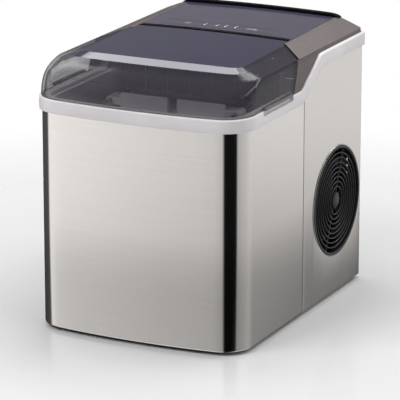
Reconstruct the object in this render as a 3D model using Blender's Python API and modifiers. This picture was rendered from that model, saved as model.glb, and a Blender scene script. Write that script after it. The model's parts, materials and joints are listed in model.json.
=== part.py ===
"""A countertop ice maker: a steel-clad box with a pale band, a clear front lid and a rear cover.

Water is pumped from the liner's sump to a tilting tray, where ice forms round six cold fingers. The tray tips,
the ice drops onto a slide, and a rake pushes it into the basket under the lid.

Frame: X to the object's right as seen from its front, Y to the rear, Z up. The origin is on the floor, at the
middle of the body. Lengths are in metres, written as millimetres times MM.
"""

import math

import bmesh
import bpy
from mathutils import Matrix, Vector

MM = 0.001
GAP = 0.3 * MM

# Body, from which the other outlines are offset.
BODY_W = 236 * MM
BODY_D = 316 * MM
BODY_Z = 6 * MM
CORNER_R = 32 * MM
REAR_R = 6 * MM
BOW_R = 738 * MM
STEEL_T = 0.8 * MM
SEAM_Y = 3 * MM

# Band round the top of the body, low in front and high behind.
BAND_Z = 233 * MM
BAND_H = 14 * MM
BAND_OUT = 3 * MM
BAND_FLANGE_IN = 9 * MM
BAND_FLANGE_T = 3.5 * MM
STEEL_TUCK = 8 * MM
RAMP_Y0 = -5 * MM
RAMP_Y1 = 44 * MM
RAMP_RISE = 29 * MM
RAMP_BLEND = 5 * MM

# Dome: the outer form of the lid, the rear cover and the control panel.
DOME_T = 2.5 * MM
CREASE_X = 91 * MM
CREASE_Z = 286.5 * MM
CROWN = 4 * MM
LID_REAR_Y = 28 * MM
ARM_Y = 14 * MM
SIDE_SEAM_Y = -13 * MM
FOOT_SEAM_Y = -27 * MM
DOME_OUT = 1 * MM
# Height, inset of the side, front and rear from the dome's foot, and corner radius, in millimetres.
DOME_LEVELS = (
    (240, 0, 0, 0, 33),
    (259, 0.2, 1, 0.2, 33),
    (267, 0.6, 4, 0.5, 33),
    (274, 1.2, 10.5, 1, 32),
    (280, 3, 23, 3, 31),
    (283.3, 15, 40, 6, 24),
    (286.5, 28, 57, 9, 14),
)
CROWN_SHARES = (0.7, 0.4, 0.12)
SEAM_GAP = 2.0 * MM
PANEL_Y0 = 32.5 * MM
PANEL_Y1 = 146 * MM
PANEL_X = 87.6 * MM
HINGE_Y = 23.5 * MM
HINGE_Z = 281 * MM
HINGE_R = 1.5 * MM

# Controls, in one row across the panel. Buttons: name, X, half length, half width.
BUTTON_Y = 55 * MM
BUTTONS = (("power_button", -42 * MM, 4.5 * MM, 3.5 * MM), ("size_button", 33 * MM, 7.5 * MM, 3.5 * MM))
LAMP_XS = (-22 * MM, -8 * MM, 2 * MM, 14 * MM)
LAMP_R = 1.5 * MM

# Finger recess and lift tab on each side.
GRIP_Y0 = -103 * MM
GRIP_Y1 = -31 * MM
GRIP_X = 116.8 * MM
GRIP_DEPTH = 5 * MM

# Air outlet.
GRILLE_Y = 89 * MM
GRILLE_Z = 104.5 * MM
GRILLE_R = 60 * MM

ROTOR_R = 13 * MM
BLADE_COUNT = 5
BLADE_TIP = 35 * MM
BLADE_PITCH = 38
SHROUD_HALF = 41 * MM
GRILLE_RINGS = 6
GRILLE_SPOKES = 8

# Vent slots: lowest height, pitch, count and slot height.
LEFT_VENTS = (60 * MM, 11 * MM, 9, 4 * MM)
REAR_VENTS = (150 * MM, 9 * MM, 10, 4 * MM)

# Cabinet inside.
LINER_TOP = 243 * MM
LINER_X = 105 * MM
LINER_Y0 = -146 * MM
LINER_Y1 = 45 * MM
LINER_FLOOR = 55 * MM
WALL = 2.5 * MM
BASKET_TOP = 196 * MM
TRAY_Y = 24 * MM
TRAY_Z = 236 * MM
TRAY_R = 19 * MM
TRAY_X = 78 * MM
TRAY_WALL = 2.2 * MM
FINGER_COUNT = 6
FINGER_PITCH = 26 * MM
FINGER_R = 5.5 * MM
RAKE_Z = 229 * MM
GUIDE_X = 72 * MM
GUIDE_R = 2.1 * MM
FAN_X = 97 * MM
COMPRESSOR = (-55 * MM, 105 * MM)
# Radius and height of the compressor's shell from its top down, in millimetres.
COMPRESSOR_PROFILE = (
    (0, 150), (14, 149), (27, 145), (37, 138), (43, 128), (45, 114), (45, 98), (46, 97),
    (46, 92), (45, 91), (45, 50), (43, 36), (36, 25), (28, 20.3), (0, 20.3),
)
PUMP_OUTLET = (8 * MM, 66 * MM)
DRAIN = (-70 * MM, 30 * MM)
DRAIN_R = 8 * MM

# name: colour, roughness, metallic, alpha
MATERIALS = {
    "brushed_steel": ((0.66, 0.64, 0.61), 0.34, 1.0, 1.0),
    "band_plastic": ((0.76, 0.74, 0.77), 0.38, 0.0, 1.0),
    "smoked_clear": ((0.24, 0.23, 0.27), 0.06, 0.0, 0.45),
    "cover_plastic": ((0.13, 0.12, 0.12), 0.25, 0.0, 1.0),
    "panel_gloss": ((0.15, 0.13, 0.19), 0.12, 0.0, 1.0),
    "black_plastic": ((0.02, 0.02, 0.022), 0.42, 0.0, 1.0),
    "liner_plastic": ((0.56, 0.55, 0.56), 0.45, 0.0, 1.0),
    "basket_plastic": ((0.62, 0.61, 0.63), 0.35, 0.0, 1.0),
    "dark_guard": ((0.05, 0.05, 0.09), 0.30, 0.0, 1.0),
    "zinc_steel": ((0.48, 0.48, 0.50), 0.45, 1.0, 1.0),
    "nickel": ((0.70, 0.69, 0.66), 0.22, 1.0, 1.0),
    "copper": ((0.72, 0.40, 0.25), 0.30, 1.0, 1.0),
    "aluminium_fins": ((0.68, 0.69, 0.70), 0.40, 1.0, 1.0),
    "black_enamel": ((0.03, 0.03, 0.035), 0.35, 0.0, 1.0),
    "rubber": ((0.03, 0.03, 0.03), 0.85, 0.0, 1.0),
    "board_green": ((0.05, 0.20, 0.10), 0.50, 0.0, 1.0),
    "lens_white": ((0.78, 0.78, 0.84), 0.20, 0.0, 1.0),
    "silicone": ((0.74, 0.75, 0.76), 0.50, 0.0, 0.8),
}


# ---------------------------------------------------------------- scene and materials


def clear_scene():
    for obj in list(bpy.data.objects):
        bpy.data.objects.remove(obj, do_unlink=True)


def new_collection(name, shown=True):
    group = bpy.data.collections.new(name)
    group.hide_render = not shown
    bpy.context.scene.collection.children.link(group)
    return group


def material(name):
    found = bpy.data.materials.get(name)
    if found:
        return found
    colour, roughness, metallic, alpha = MATERIALS[name]
    made = bpy.data.materials.new(name)
    made.use_nodes = True
    shader = made.node_tree.nodes["Principled BSDF"]
    shader.inputs["Base Color"].default_value = (*colour, 1.0)
    shader.inputs["Roughness"].default_value = roughness
    shader.inputs["Metallic"].default_value = metallic
    shader.inputs["Alpha"].default_value = alpha
    made.diffuse_color = (*colour, alpha)
    return made


def keep(name, mesh_data, finish, smooth=False, angle=35):
    """A named part from a bmesh, in the object's collection."""
    bmesh.ops.recalc_face_normals(mesh_data, faces=mesh_data.faces)
    mesh = bpy.data.meshes.new(name)
    mesh_data.to_mesh(mesh)
    mesh_data.free()
    if smooth:
        mesh.shade_smooth()
        mesh.set_sharp_from_angle(angle=math.radians(angle))
    obj = bpy.data.objects.new(name, mesh)
    PARTS.objects.link(obj)
    if finish:
        mesh.materials.append(material(finish))
    return obj


def as_cutter(obj):
    PARTS.objects.unlink(obj)
    CUTTERS.objects.link(obj)
    obj.hide_render = True
    obj.display_type = "WIRE"
    return obj


def combine(obj, others, operation):
    for other in others:
        if other.name not in CUTTERS.objects:
            as_cutter(other)
        step = obj.modifiers.new(operation.lower(), "BOOLEAN")
        step.operation = operation
        step.solver = "EXACT"
        step.object = other
    return obj


def cut(obj, *others):
    return combine(obj, others, "DIFFERENCE")


def join(obj, *others):
    return combine(obj, others, "UNION")


def pivot(obj, place):
    """Moves an object's origin onto its joint, without moving its shape."""
    obj.data.transform(Matrix.Translation(-Vector(place)))
    obj.location = place
    return obj


def beside(sign, inner, outer):
    """Low and high X of something between two distances from the middle, on one side."""
    return sorted((sign * inner, sign * outer))


# ---------------------------------------------------------------- basic shapes


def box(name, low, high, finish=None, bevel=0.0):
    """A box between two corners, its edges rounded by a bevel."""
    data = bmesh.new()
    bmesh.ops.create_cube(data, size=1.0)
    size = [h - l for l, h in zip(low, high)]
    middle = [(h + l) / 2 for l, h in zip(low, high)]
    bmesh.ops.scale(data, vec=size, verts=data.verts)
    bmesh.ops.translate(data, vec=middle, verts=data.verts)
    obj = keep(name, data, finish)
    if bevel:
        edge = obj.modifiers.new("edge", "BEVEL")
        edge.width = bevel
        edge.segments = 2
        obj.data.shade_smooth()
        obj.data.set_sharp_from_angle(angle=math.radians(50))
    return obj


def rod(name, start, end, radius, finish=None, sides=20, end_radius=None):
    """A cylinder or cone from start to end."""
    start, end = Vector(start), Vector(end)
    along = end - start
    data = bmesh.new()
    place = Matrix.Translation((start + end) / 2) @ along.to_track_quat("Z", "Y").to_matrix().to_4x4()
    bmesh.ops.create_cone(
        data,
        cap_ends=True,
        segments=sides,
        radius1=radius,
        radius2=radius if end_radius is None else end_radius,
        depth=along.length,
        matrix=place,
    )
    return keep(name, data, finish, smooth=True)


def turned(name, place, profile, finish=None, steps=28, axis=(0, 0, 1), closed=False):
    """A turned piece about an axis through place: radius and height pairs, down the outer side."""
    mesh = bpy.data.meshes.new(name)
    last = len(profile) - 1
    edges = [(k, k + 1) for k in range(last)] + ([(last, 0)] if closed else [])
    mesh.from_pydata([(r, 0, z) for r, z in profile], edges, [])
    obj = bpy.data.objects.new(name, mesh)
    PARTS.objects.link(obj)
    obj.location = place
    obj.rotation_euler = Vector(axis).to_track_quat("Z", "Y").to_euler()
    if finish:
        mesh.materials.append(material(finish))
    turn = obj.modifiers.new("turn", "SCREW")
    turn.steps = turn.render_steps = steps
    turn.use_merge_vertices = True
    turn.merge_threshold = 0.00005
    turn.use_smooth_shade = True
    return obj


def ring(name, place, inner, outer, length, steps=24):
    """A plain ring about the X direction, centred on place."""
    half = length / 2
    profile = [(outer, half), (outer, -half), (inner, -half), (inner, half)]
    return turned(name, place, profile, steps=steps, axis=(1, 0, 0), closed=True)


def prism(name, outline, low, high, axis="Z", finish=None):
    """A flat outline pushed along an axis. Its points are XY for Z, and YZ for X."""
    data = bmesh.new()
    for level in (low, high):
        for a, b in outline:
            data.verts.new((a, b, level) if axis == "Z" else (level, a, b))
    data.verts.ensure_lookup_table()
    count = len(outline)
    data.faces.new(data.verts[:count][::-1])
    data.faces.new(data.verts[count:])
    for k in range(count):
        after = (k + 1) % count
        data.faces.new([data.verts[i] for i in (k, after, count + after, count + k)])
    return keep(name, data, finish)


def loft(name, rings, finish=None, smooth=True, angle=35):
    """A closed solid through stacked rings of equal count."""
    data = bmesh.new()
    rows = [[data.verts.new(point) for point in ring_points] for ring_points in rings]
    count = len(rows[0])
    for lower, upper in zip(rows, rows[1:]):
        for k in range(count):
            after = (k + 1) % count
            data.faces.new((lower[k], lower[after], upper[after], upper[k]))
    data.faces.new(rows[0][::-1])
    data.faces.new(rows[-1])
    return keep(name, data, finish, smooth, angle)


def pipe(name, points, radius, finish):
    """A tube along a smooth path, with closed ends."""
    curve = bpy.data.curves.new(name, "CURVE")
    curve.dimensions = "3D"
    curve.bevel_depth = radius
    curve.bevel_resolution = 2
    curve.use_fill_caps = True
    spline = curve.splines.new("POLY")
    spline.points.add(len(points) - 1)
    for place, point in zip(spline.points, points):
        place.co = (*point, 1.0)
    obj = bpy.data.objects.new(name, curve)
    PARTS.objects.link(obj)
    curve.materials.append(material(finish))
    return obj


def bent(corners, radius, steps=4):
    """Points of a path through corners, each rounded by an arc of this radius."""
    corners = [Vector(c) for c in corners]
    path = [corners[0]]
    for before, here, after in zip(corners, corners[1:], corners[2:]):
        back, ahead = (before - here).normalized(), (after - here).normalized()
        half = back.angle(ahead) / 2
        reach = radius / math.tan(half)
        centre = here + (back + ahead).normalized() * (radius / math.sin(half))
        first, last = here + back * reach - centre, here + ahead * reach - centre
        sweep = first.angle(last)
        for k in range(steps + 1):
            share = sweep * k / steps
            path.append(centre + (first * math.sin(sweep - share) + last * math.sin(share)) / math.sin(sweep))
    path.append(corners[-1])
    return path


# ---------------------------------------------------------------- outlines


def plan(half_w, y_front, y_rear, r_front, r_rear, side_ys=(), arc=6):
    """A closed plan outline, from the front's middle round to the right: bowed front, round corners."""
    reach_x = half_w - r_front
    bow_y = y_front + BOW_R
    reach_y = bow_y - math.sqrt((BOW_R - r_front) ** 2 - reach_x**2)
    lean = math.atan2(reach_y - bow_y, reach_x)
    half = []
    for k in range(4):
        turn = -math.pi / 2 + (lean + math.pi / 2) * k / 4
        half.append((BOW_R * math.cos(turn), bow_y + BOW_R * math.sin(turn)))
    for k in range(arc + 1):
        turn = lean * (1 - k / arc)
        half.append((reach_x + r_front * math.cos(turn), reach_y + r_front * math.sin(turn)))
    half += [(half_w, y) for y in side_ys]
    for k in range(4):
        turn = math.pi / 2 * k / 3
        half.append((half_w - r_rear + r_rear * math.cos(turn), y_rear - r_rear + r_rear * math.sin(turn)))
    mirrored = [(-x, y) for x, y in half[1:]]
    return half + mirrored[::-1]


def body_plan(offset, r_rear=None, side_ys=()):
    """The body's outline moved outwards by offset."""
    rear = REAR_R + offset if r_rear is None else r_rear
    half_d = BODY_D / 2 + offset
    return plan(BODY_W / 2 + offset, -half_d, half_d, CORNER_R + offset, rear, side_ys)


def at(outline, z):
    return [(x, y, z) for x, y in outline]


def rise(y):
    """How far the band has climbed at this y, with a soft bend at each end of the ramp."""
    slope = RAMP_RISE / (RAMP_Y1 - RAMP_Y0)
    climbed = 0.0
    for bend, sign in ((RAMP_Y0, 1), (RAMP_Y1, -1)):
        t = y - bend
        if t > RAMP_BLEND:
            climbed += sign * slope * t
        elif t > -RAMP_BLEND:
            climbed += sign * slope * (t + RAMP_BLEND) ** 2 / (4 * RAMP_BLEND)
    return climbed


def band_low(y):
    return BAND_Z + rise(y)


def band_top(y):
    """The band keeps its thickness on the ramp, so its upright height grows there."""
    step = 0.5 * MM
    slope = (rise(y + step) - rise(y - step)) / (2 * step)
    return band_low(y) + BAND_H * math.sqrt(1 + slope**2)


def ramp_ys():
    """Where the band bends, from front to rear."""
    return [bend + RAMP_BLEND * k / 2 for bend in (RAMP_Y0, RAMP_Y1) for k in range(-2, 3)]


# ---------------------------------------------------------------- body shell


def sheet(name, path, low, top, thickness, finish):
    """An upright sheet along a plan path, from low up to top(y), thickened inwards."""
    data = bmesh.new()
    lower = [data.verts.new((x, y, low)) for x, y in path]
    upper = [data.verts.new((x, y, top(y))) for x, y in path]
    for k in range(len(path) - 1):
        data.faces.new((lower[k], lower[k + 1], upper[k + 1], upper[k]))
    mesh = bpy.data.meshes.new(name)
    data.to_mesh(mesh)
    data.free()
    mesh.materials.append(material(finish))
    mesh.shade_smooth()
    mesh.set_sharp_from_angle(angle=math.radians(35))
    obj = bpy.data.objects.new(name, mesh)
    PARTS.objects.link(obj)
    wall = obj.modifiers.new("wall", "SOLIDIFY")
    wall.thickness = thickness
    wall.offset = -1
    return obj


def steel_top(y):
    """The sheet's upper edge, hidden behind the band's skirt."""
    return band_top(y) - STEEL_TUCK


def front_wrap():
    """One steel sheet round the front and forward half of both sides."""
    outline = body_plan(0.0)
    right = [p for p in outline[: len(outline) // 2 + 1] if p[0] >= 0 and p[1] < SEAM_Y]
    right += [(BODY_W / 2, y) for y in ramp_ys()[:5] if y < SEAM_Y] + [(BODY_W / 2, SEAM_Y)]
    path = [(-x, y) for x, y in right[:0:-1]] + right
    sheet("front_wrap", path, BODY_Z, steel_top, STEEL_T, "brushed_steel")


def side_path(sign):
    """Plan path of a rear side sheet, from the seam to its return round the rear corner."""
    half_w, half_d = BODY_W / 2, BODY_D / 2
    path = [(half_w, SEAM_Y + GAP), (half_w, SEAM_Y + 9 * MM), (half_w, 30 * MM)]
    path += [(half_w, y) for y in ramp_ys()[5:]]
    for k in range(4):
        turn = math.pi / 2 * k / 3
        x = half_w - REAR_R + REAR_R * math.cos(turn)
        path.append((x, half_d - REAR_R + REAR_R * math.sin(turn)))
    path.append((half_w - 17 * MM, half_d))
    return path if sign > 0 else [(-x, y) for x, y in path[::-1]]


def side_panels():
    right = sheet("side_panel_right", side_path(1), BODY_Z, steel_top, STEEL_T, "brushed_steel")
    hole = rod("grille_hole", (110 * MM, GRILLE_Y, GRILLE_Z), (125 * MM, GRILLE_Y, GRILLE_Z),
               GRILLE_R - 2 * MM, sides=40)
    cut(right, hole)
    left = sheet("side_panel_left", side_path(-1), BODY_Z, steel_top, STEEL_T, "brushed_steel")
    first, pitch, count, tall = LEFT_VENTS
    for k in range(count):
        z = first + pitch * k
        slot = box(f"left_vent_{k}", (-125 * MM, 60 * MM, z), (-110 * MM, 125 * MM, z + tall))
        cut(left, slot)


def rear_panel():
    half_d = BODY_D / 2
    panel = box("rear_panel", (-100.4 * MM, half_d - 2 * MM, 12 * MM),
                (100.4 * MM, half_d - 0.5 * MM, 268 * MM), "zinc_steel")
    first, pitch, count, tall = REAR_VENTS
    for k in range(count):
        z = first + pitch * k
        slot = box(f"rear_vent_{k}", (-60 * MM, half_d - 5 * MM, z), (60 * MM, half_d + 5 * MM, z + tall))
        cut(panel, slot)
    inlet = box("inlet_hole", (50 * MM, half_d - 5 * MM, 30 * MM), (80 * MM, half_d + 5 * MM, 52 * MM))
    x, z = DRAIN
    drain = rod("drain_hole", (x, half_d - 5 * MM, z), (x, half_d + 5 * MM, z), DRAIN_R)
    cut(panel, inlet, drain)


def rear_screws():
    for name, x, z in (("a", -94, 20), ("b", 94, 20), ("c", -94, 256), ("d", 94, 256)):
        face = BODY_D / 2 - 0.5 * MM + GAP
        rod(f"rear_screw_{name}", (x * MM, face, z * MM), (x * MM, face + 2 * MM, z * MM), 3.6 * MM,
            "nickel", sides=16, end_radius=2.6 * MM)


def base_pan():
    inside = -STEEL_T - 0.6 * MM
    rings = [at(body_plan(inside - 1.5 * MM), 3 * MM), at(body_plan(inside), 4.5 * MM),
             at(body_plan(inside), 9 * MM)]
    loft("base_pan", rings, "black_plastic", angle=25)


def feet():
    for name, x, y in (("front_left", -82, -112), ("front_right", 82, -112),
                       ("rear_left", -92, 132), ("rear_right", 92, 132)):
        rod(f"foot_{name}", (x * MM, y * MM, 0), (x * MM, y * MM, 3 * MM - GAP), 9 * MM, "rubber",
            sides=24, end_radius=10.5 * MM)


def trim_band():
    """A skirt outside the steel with a flange turned in over its edge, and a finger recess each side."""
    ys = ramp_ys()
    outer, skirt = body_plan(BAND_OUT, side_ys=ys), body_plan(GAP, side_ys=ys)
    inner = body_plan(-BAND_FLANGE_IN, r_rear=2 * MM, side_ys=ys)
    data = bmesh.new()
    rows = []
    for (ox, oy), (sx, sy), (ix, iy) in zip(outer, skirt, inner):
        low, top = band_low(oy), band_top(oy)
        under = top - BAND_FLANGE_T
        section = [(ox, oy, low + 0.8 * MM), (ox, oy, top - 1.2 * MM), (ox * 0.993, oy * 0.995, top),
                   (ix, iy, top), (ix, iy, under), (sx, sy, under), (sx, sy, low)]
        rows.append([data.verts.new(p) for p in section])
    for k, this in enumerate(rows):
        after = rows[(k + 1) % len(rows)]
        for m in range(len(this)):
            n = (m + 1) % len(this)
            data.faces.new((this[m], after[m], after[n], this[n]))
    band = keep("trim_band", data, "band_plastic", smooth=True)
    top = BAND_Z + BAND_H
    for sign in (1, -1):
        xs = beside(sign, GRIP_X - 1 * MM, 119 * MM)
        cup = box(f"recess_cup_{sign}", (xs[0], GRIP_Y0 - 2 * MM, top - GRIP_DEPTH - 2.2 * MM),
                  (xs[1], GRIP_Y1 + 2 * MM, top - 1 * MM))
        xs = beside(sign, GRIP_X, 125 * MM)
        hollow = box(f"finger_recess_{sign}", (xs[0], GRIP_Y0, top - GRIP_DEPTH),
                     (xs[1], GRIP_Y1, top + 5 * MM))
        join(band, cup)
        cut(band, hollow)


# ---------------------------------------------------------------- dome, lid and cover


def dome_rings(inset):
    """Stacked plan outlines of the dome: upright walls, a round shoulder, a shallow chamfer, a crowned top."""
    rings = []
    for z, side, front, rear, corner in DOME_LEVELS:
        shrink = inset * MM
        half_w = BODY_W / 2 + DOME_OUT - side * MM - shrink
        y_front = -BODY_D / 2 - DOME_OUT + front * MM + shrink
        y_rear = BODY_D / 2 + DOME_OUT - rear * MM - shrink
        height = z * MM - (shrink if z > 270 else 0)
        rings.append(at(plan(half_w, y_front, y_rear, corner * MM, 7 * MM, arc=6), height))
    top_w = CREASE_X - inset * MM
    for share in CROWN_SHARES:
        y_front = -BODY_D / 2 + (56 + 45 * (1 - share)) * MM
        y_rear = BODY_D / 2 - 8 * MM - inset * MM - 6 * (1 - share) * MM
        height = CREASE_Z - inset * MM + CROWN * (1 - share**2)
        corner = min(14 * MM, top_w * share * 0.8)
        rings.append(at(plan(top_w * share, y_front, y_rear, corner, min(6 * MM, corner), arc=6), height))
    return rings


def dome_shell(name, finish):
    outer = loft(name, dome_rings(0), finish, angle=20)
    inside = dome_rings(DOME_T / MM)
    below = [(x, y, 235 * MM) for x, y, _ in inside[0]]
    return cut(outer, loft(f"{name}_inside", [below, *inside]))


def seam_cutters(tag, shift, rear):
    """Two prisms on one side of the seam between lid and cover, moved to the rear by shift."""
    far = 200 * MM if rear else -200 * MM
    arm_x = PANEL_X + (0.4 * MM if rear else -0.4 * MM)
    middle_y = LID_REAR_Y if rear else PANEL_Y0
    seam = [(-130 * MM, SIDE_SEAM_Y), (-118.5 * MM, SIDE_SEAM_Y), (-arm_x - 0.6 * MM, ARM_Y), (-arm_x, ARM_Y),
            (-arm_x, middle_y - shift)]
    seam = [(x, y + shift) for x, y in seam]
    line = seam + [(-x, y) for x, y in seam[::-1]]
    outline = line + [(200 * MM, far), (-200 * MM, far)]
    top = prism(f"{tag}_top", outline, 279 * MM, 310 * MM)
    foot_run = (FOOT_SEAM_Y - SIDE_SEAM_Y) / (280 * MM - 247 * MM)
    foot_y = SIDE_SEAM_Y + foot_run * (280 * MM - 235 * MM) + shift
    side = [(SIDE_SEAM_Y + shift, 279.2 * MM), (foot_y, 235 * MM), (far, 235 * MM), (far, 279.2 * MM)]
    return top, prism(f"{tag}_side", side, -200 * MM, 200 * MM, axis="X")


def lid():
    """The clear front lid: window and frame in one moulding, with a lift tab on each side."""
    shell = dome_shell("lid", "smoked_clear")
    cut(shell, *seam_cutters("lid_seam", 0.0, rear=True))
    floor = box("lid_foot", (-200 * MM, -200 * MM, 200 * MM), (200 * MM, 200 * MM, BAND_Z + BAND_H + GAP))
    cut(shell, floor)
    low = BAND_Z + BAND_H + GAP
    for sign in (1, -1):
        xs = beside(sign, 117.5 * MM, 122.5 * MM)
        tab = box(f"lift_tab_{sign}", (xs[0], GRIP_Y0 + 2 * MM, low), (xs[1], GRIP_Y1 - 2 * MM, low + 3 * MM))
        xs = beside(sign, 77 * MM, 86 * MM)
        block = box(f"hinge_boss_{sign}", (xs[0], HINGE_Y - 3 * MM, HINGE_Z - 3 * MM),
                    (xs[1], HINGE_Y + 3 * MM, HINGE_Z + 5 * MM))
        bore = rod(f"hinge_bore_{sign}", (sign * 74 * MM, HINGE_Y, HINGE_Z), (sign * 95 * MM, HINGE_Y, HINGE_Z),
                   HINGE_R + 0.4 * MM, sides=16)
        join(shell, tab, block)
        cut(shell, bore)
    pivot(shell, (0, HINGE_Y, HINGE_Z))


def top_cover():
    """The rear cover: two arms beside the lid, the sides and the rear edge, open where the panel sits."""
    shell = dome_shell("top_cover", "cover_plastic")
    cut(shell, *seam_cutters("cover_seam", SEAM_GAP, rear=False))
    opening = box("panel_opening", (-PANEL_X - 0.5 * MM, -50 * MM, 270 * MM),
                  (PANEL_X + 0.5 * MM, PANEL_Y1 + 0.5 * MM, 310 * MM))
    ys = [-60 * MM, *ramp_ys(), 200 * MM]
    below = [(y, band_top(y) + GAP) for y in ys] + [(200 * MM, 200 * MM), (-60 * MM, 200 * MM)]
    cut(shell, opening, prism("cover_foot", below[::-1], -200 * MM, 200 * MM, axis="X"))


def lid_hinge_pins():
    for name, sign in (("left", -1), ("right", 1)):
        rod(f"lid_hinge_pin_{name}", (sign * 78 * MM, HINGE_Y, HINGE_Z), (sign * 95 * MM, HINGE_Y, HINGE_Z),
            HINGE_R, "nickel", sides=16)


def cover_deck():
    """The black deck under the panel, with an ear for each hinge pin."""
    deck = box("cover_deck", (-103 * MM, 36 * MM, 274 * MM), (103 * MM, 148 * MM, 276.5 * MM), "black_plastic")
    for sign in (1, -1):
        xs = beside(sign, 88.6 * MM, 92 * MM)
        ear = box(f"hinge_ear_{sign}", (xs[0], HINGE_Y - 3 * MM, 275 * MM), (xs[1], 40 * MM, 282.8 * MM))
        bore = rod(f"ear_bore_{sign}", (sign * 80 * MM, HINGE_Y, HINGE_Z), (sign * 99 * MM, HINGE_Y, HINGE_Z),
                   HINGE_R + 0.4 * MM, sides=16)
        join(deck, ear)
        cut(deck, bore)


def crown_z(x):
    return CREASE_Z + CROWN * (1 - (x / CREASE_X) ** 2)


def crowned_slab(name, half_x, y0, y1, low, high, finish, steps=12):
    """A slab across the top whose faces lie low and high above the crowned surface."""
    rings = []
    for k in range(steps + 1):
        x = -half_x + 2 * half_x * k / steps
        z = crown_z(x)
        rings.append([(x, y0, z + low), (x, y1, z + low), (x, y1, z + high), (x, y0, z + high)])
    return loft(name, rings, finish, smooth=False)


def control_panel():
    panel = crowned_slab("control_panel", PANEL_X, PANEL_Y0, PANEL_Y1, -DOME_T, 0, "panel_gloss")
    for name, x, half_x, half_y in BUTTONS:
        hole = box(f"{name}_hole", (x - half_x - GAP, BUTTON_Y - half_y - GAP, 270 * MM),
                   (x + half_x + GAP, BUTTON_Y + half_y + GAP, 300 * MM))
        cut(panel, hole)
    for k, x in enumerate(LAMP_XS):
        hole = rod(f"lamp_hole_{k}", (x, BUTTON_Y, 270 * MM), (x, BUTTON_Y, 300 * MM), LAMP_R + GAP, sides=16)
        cut(panel, hole)


def buttons_and_lamps():
    for name, x, half_x, half_y in BUTTONS:
        z = crown_z(x)
        button = box(name, (x - half_x, BUTTON_Y - half_y, z - 3 * MM),
                     (x + half_x, BUTTON_Y + half_y, z + 0.3 * MM), "cover_plastic", bevel=0.4 * MM)
        pivot(button, (x, BUTTON_Y, z))
    for k, x in enumerate(LAMP_XS):
        z = crown_z(x)
        rod(f"lamp_{k + 1}", (x, BUTTON_Y, z - 3 * MM), (x, BUTTON_Y, z + 0.1 * MM), LAMP_R, "lens_white",
            sides=16)


def rear_lip():
    """The black strip along the rear edge of the top."""
    crowned_slab("rear_lip", 95 * MM, PANEL_Y1 + 1.5 * MM, 158 * MM, 0.4 * MM, 3.4 * MM, "black_plastic")


def control_board():
    box("control_board", (-70 * MM, 42 * MM, 277.5 * MM), (70 * MM, 100 * MM, 279.1 * MM), "board_green")


# ---------------------------------------------------------------- grille and fan


def star(count, reach, half_width):
    """Outline of straight spokes from one middle, as distance pairs from it."""
    outline = []
    notch = half_width / math.sin(math.pi / count)
    for k in range(count):
        turn = 2 * math.pi * (k + 0.5) / count
        ahead, side = (math.cos(turn), math.sin(turn)), (-math.sin(turn), math.cos(turn))
        for sign in (-1, 1):
            outline.append(tuple(reach * a + sign * half_width * s for a, s in zip(ahead, side)))
        between = turn + math.pi / count
        outline.append((notch * math.cos(between), notch * math.sin(between)))
    return outline


def fan_grille():
    """Round black grille in the right side: rings round a hub, joined by eight spokes."""
    face = BODY_W / 2
    outer = GRILLE_R - 2.4 * MM
    inner = GRILLE_R - 6 * MM
    profile = [(GRILLE_R, 1.5 * MM), (GRILLE_R, GAP), (outer, GAP), (outer, -5 * MM), (inner, -5 * MM),
               (inner, 1.5 * MM)]
    rim = turned("fan_grille", (face, GRILLE_Y, GRILLE_Z), profile, "black_plastic", steps=40,
                 axis=(1, 0, 0), closed=True)
    for k in range(GRILLE_RINGS):
        radius = (13 + 7 * k) * MM
        join(rim, ring(f"grille_ring_{k}", (face - 1 * MM, GRILLE_Y, GRILLE_Z), radius - 2.2 * MM, radius,
                       3 * MM))
    join(rim, rod("grille_hub", (face - 3.7 * MM, GRILLE_Y, GRILLE_Z), (face + 0.7 * MM, GRILLE_Y, GRILLE_Z),
                  7 * MM, sides=24))
    spokes = [(GRILLE_Y + y, GRILLE_Z + z) for y, z in star(GRILLE_SPOKES, GRILLE_R - 4 * MM, 1.4 * MM)]
    join(rim, prism("grille_spokes", spokes, face - 4.2 * MM, face - 1.8 * MM, axis="X"))


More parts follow.
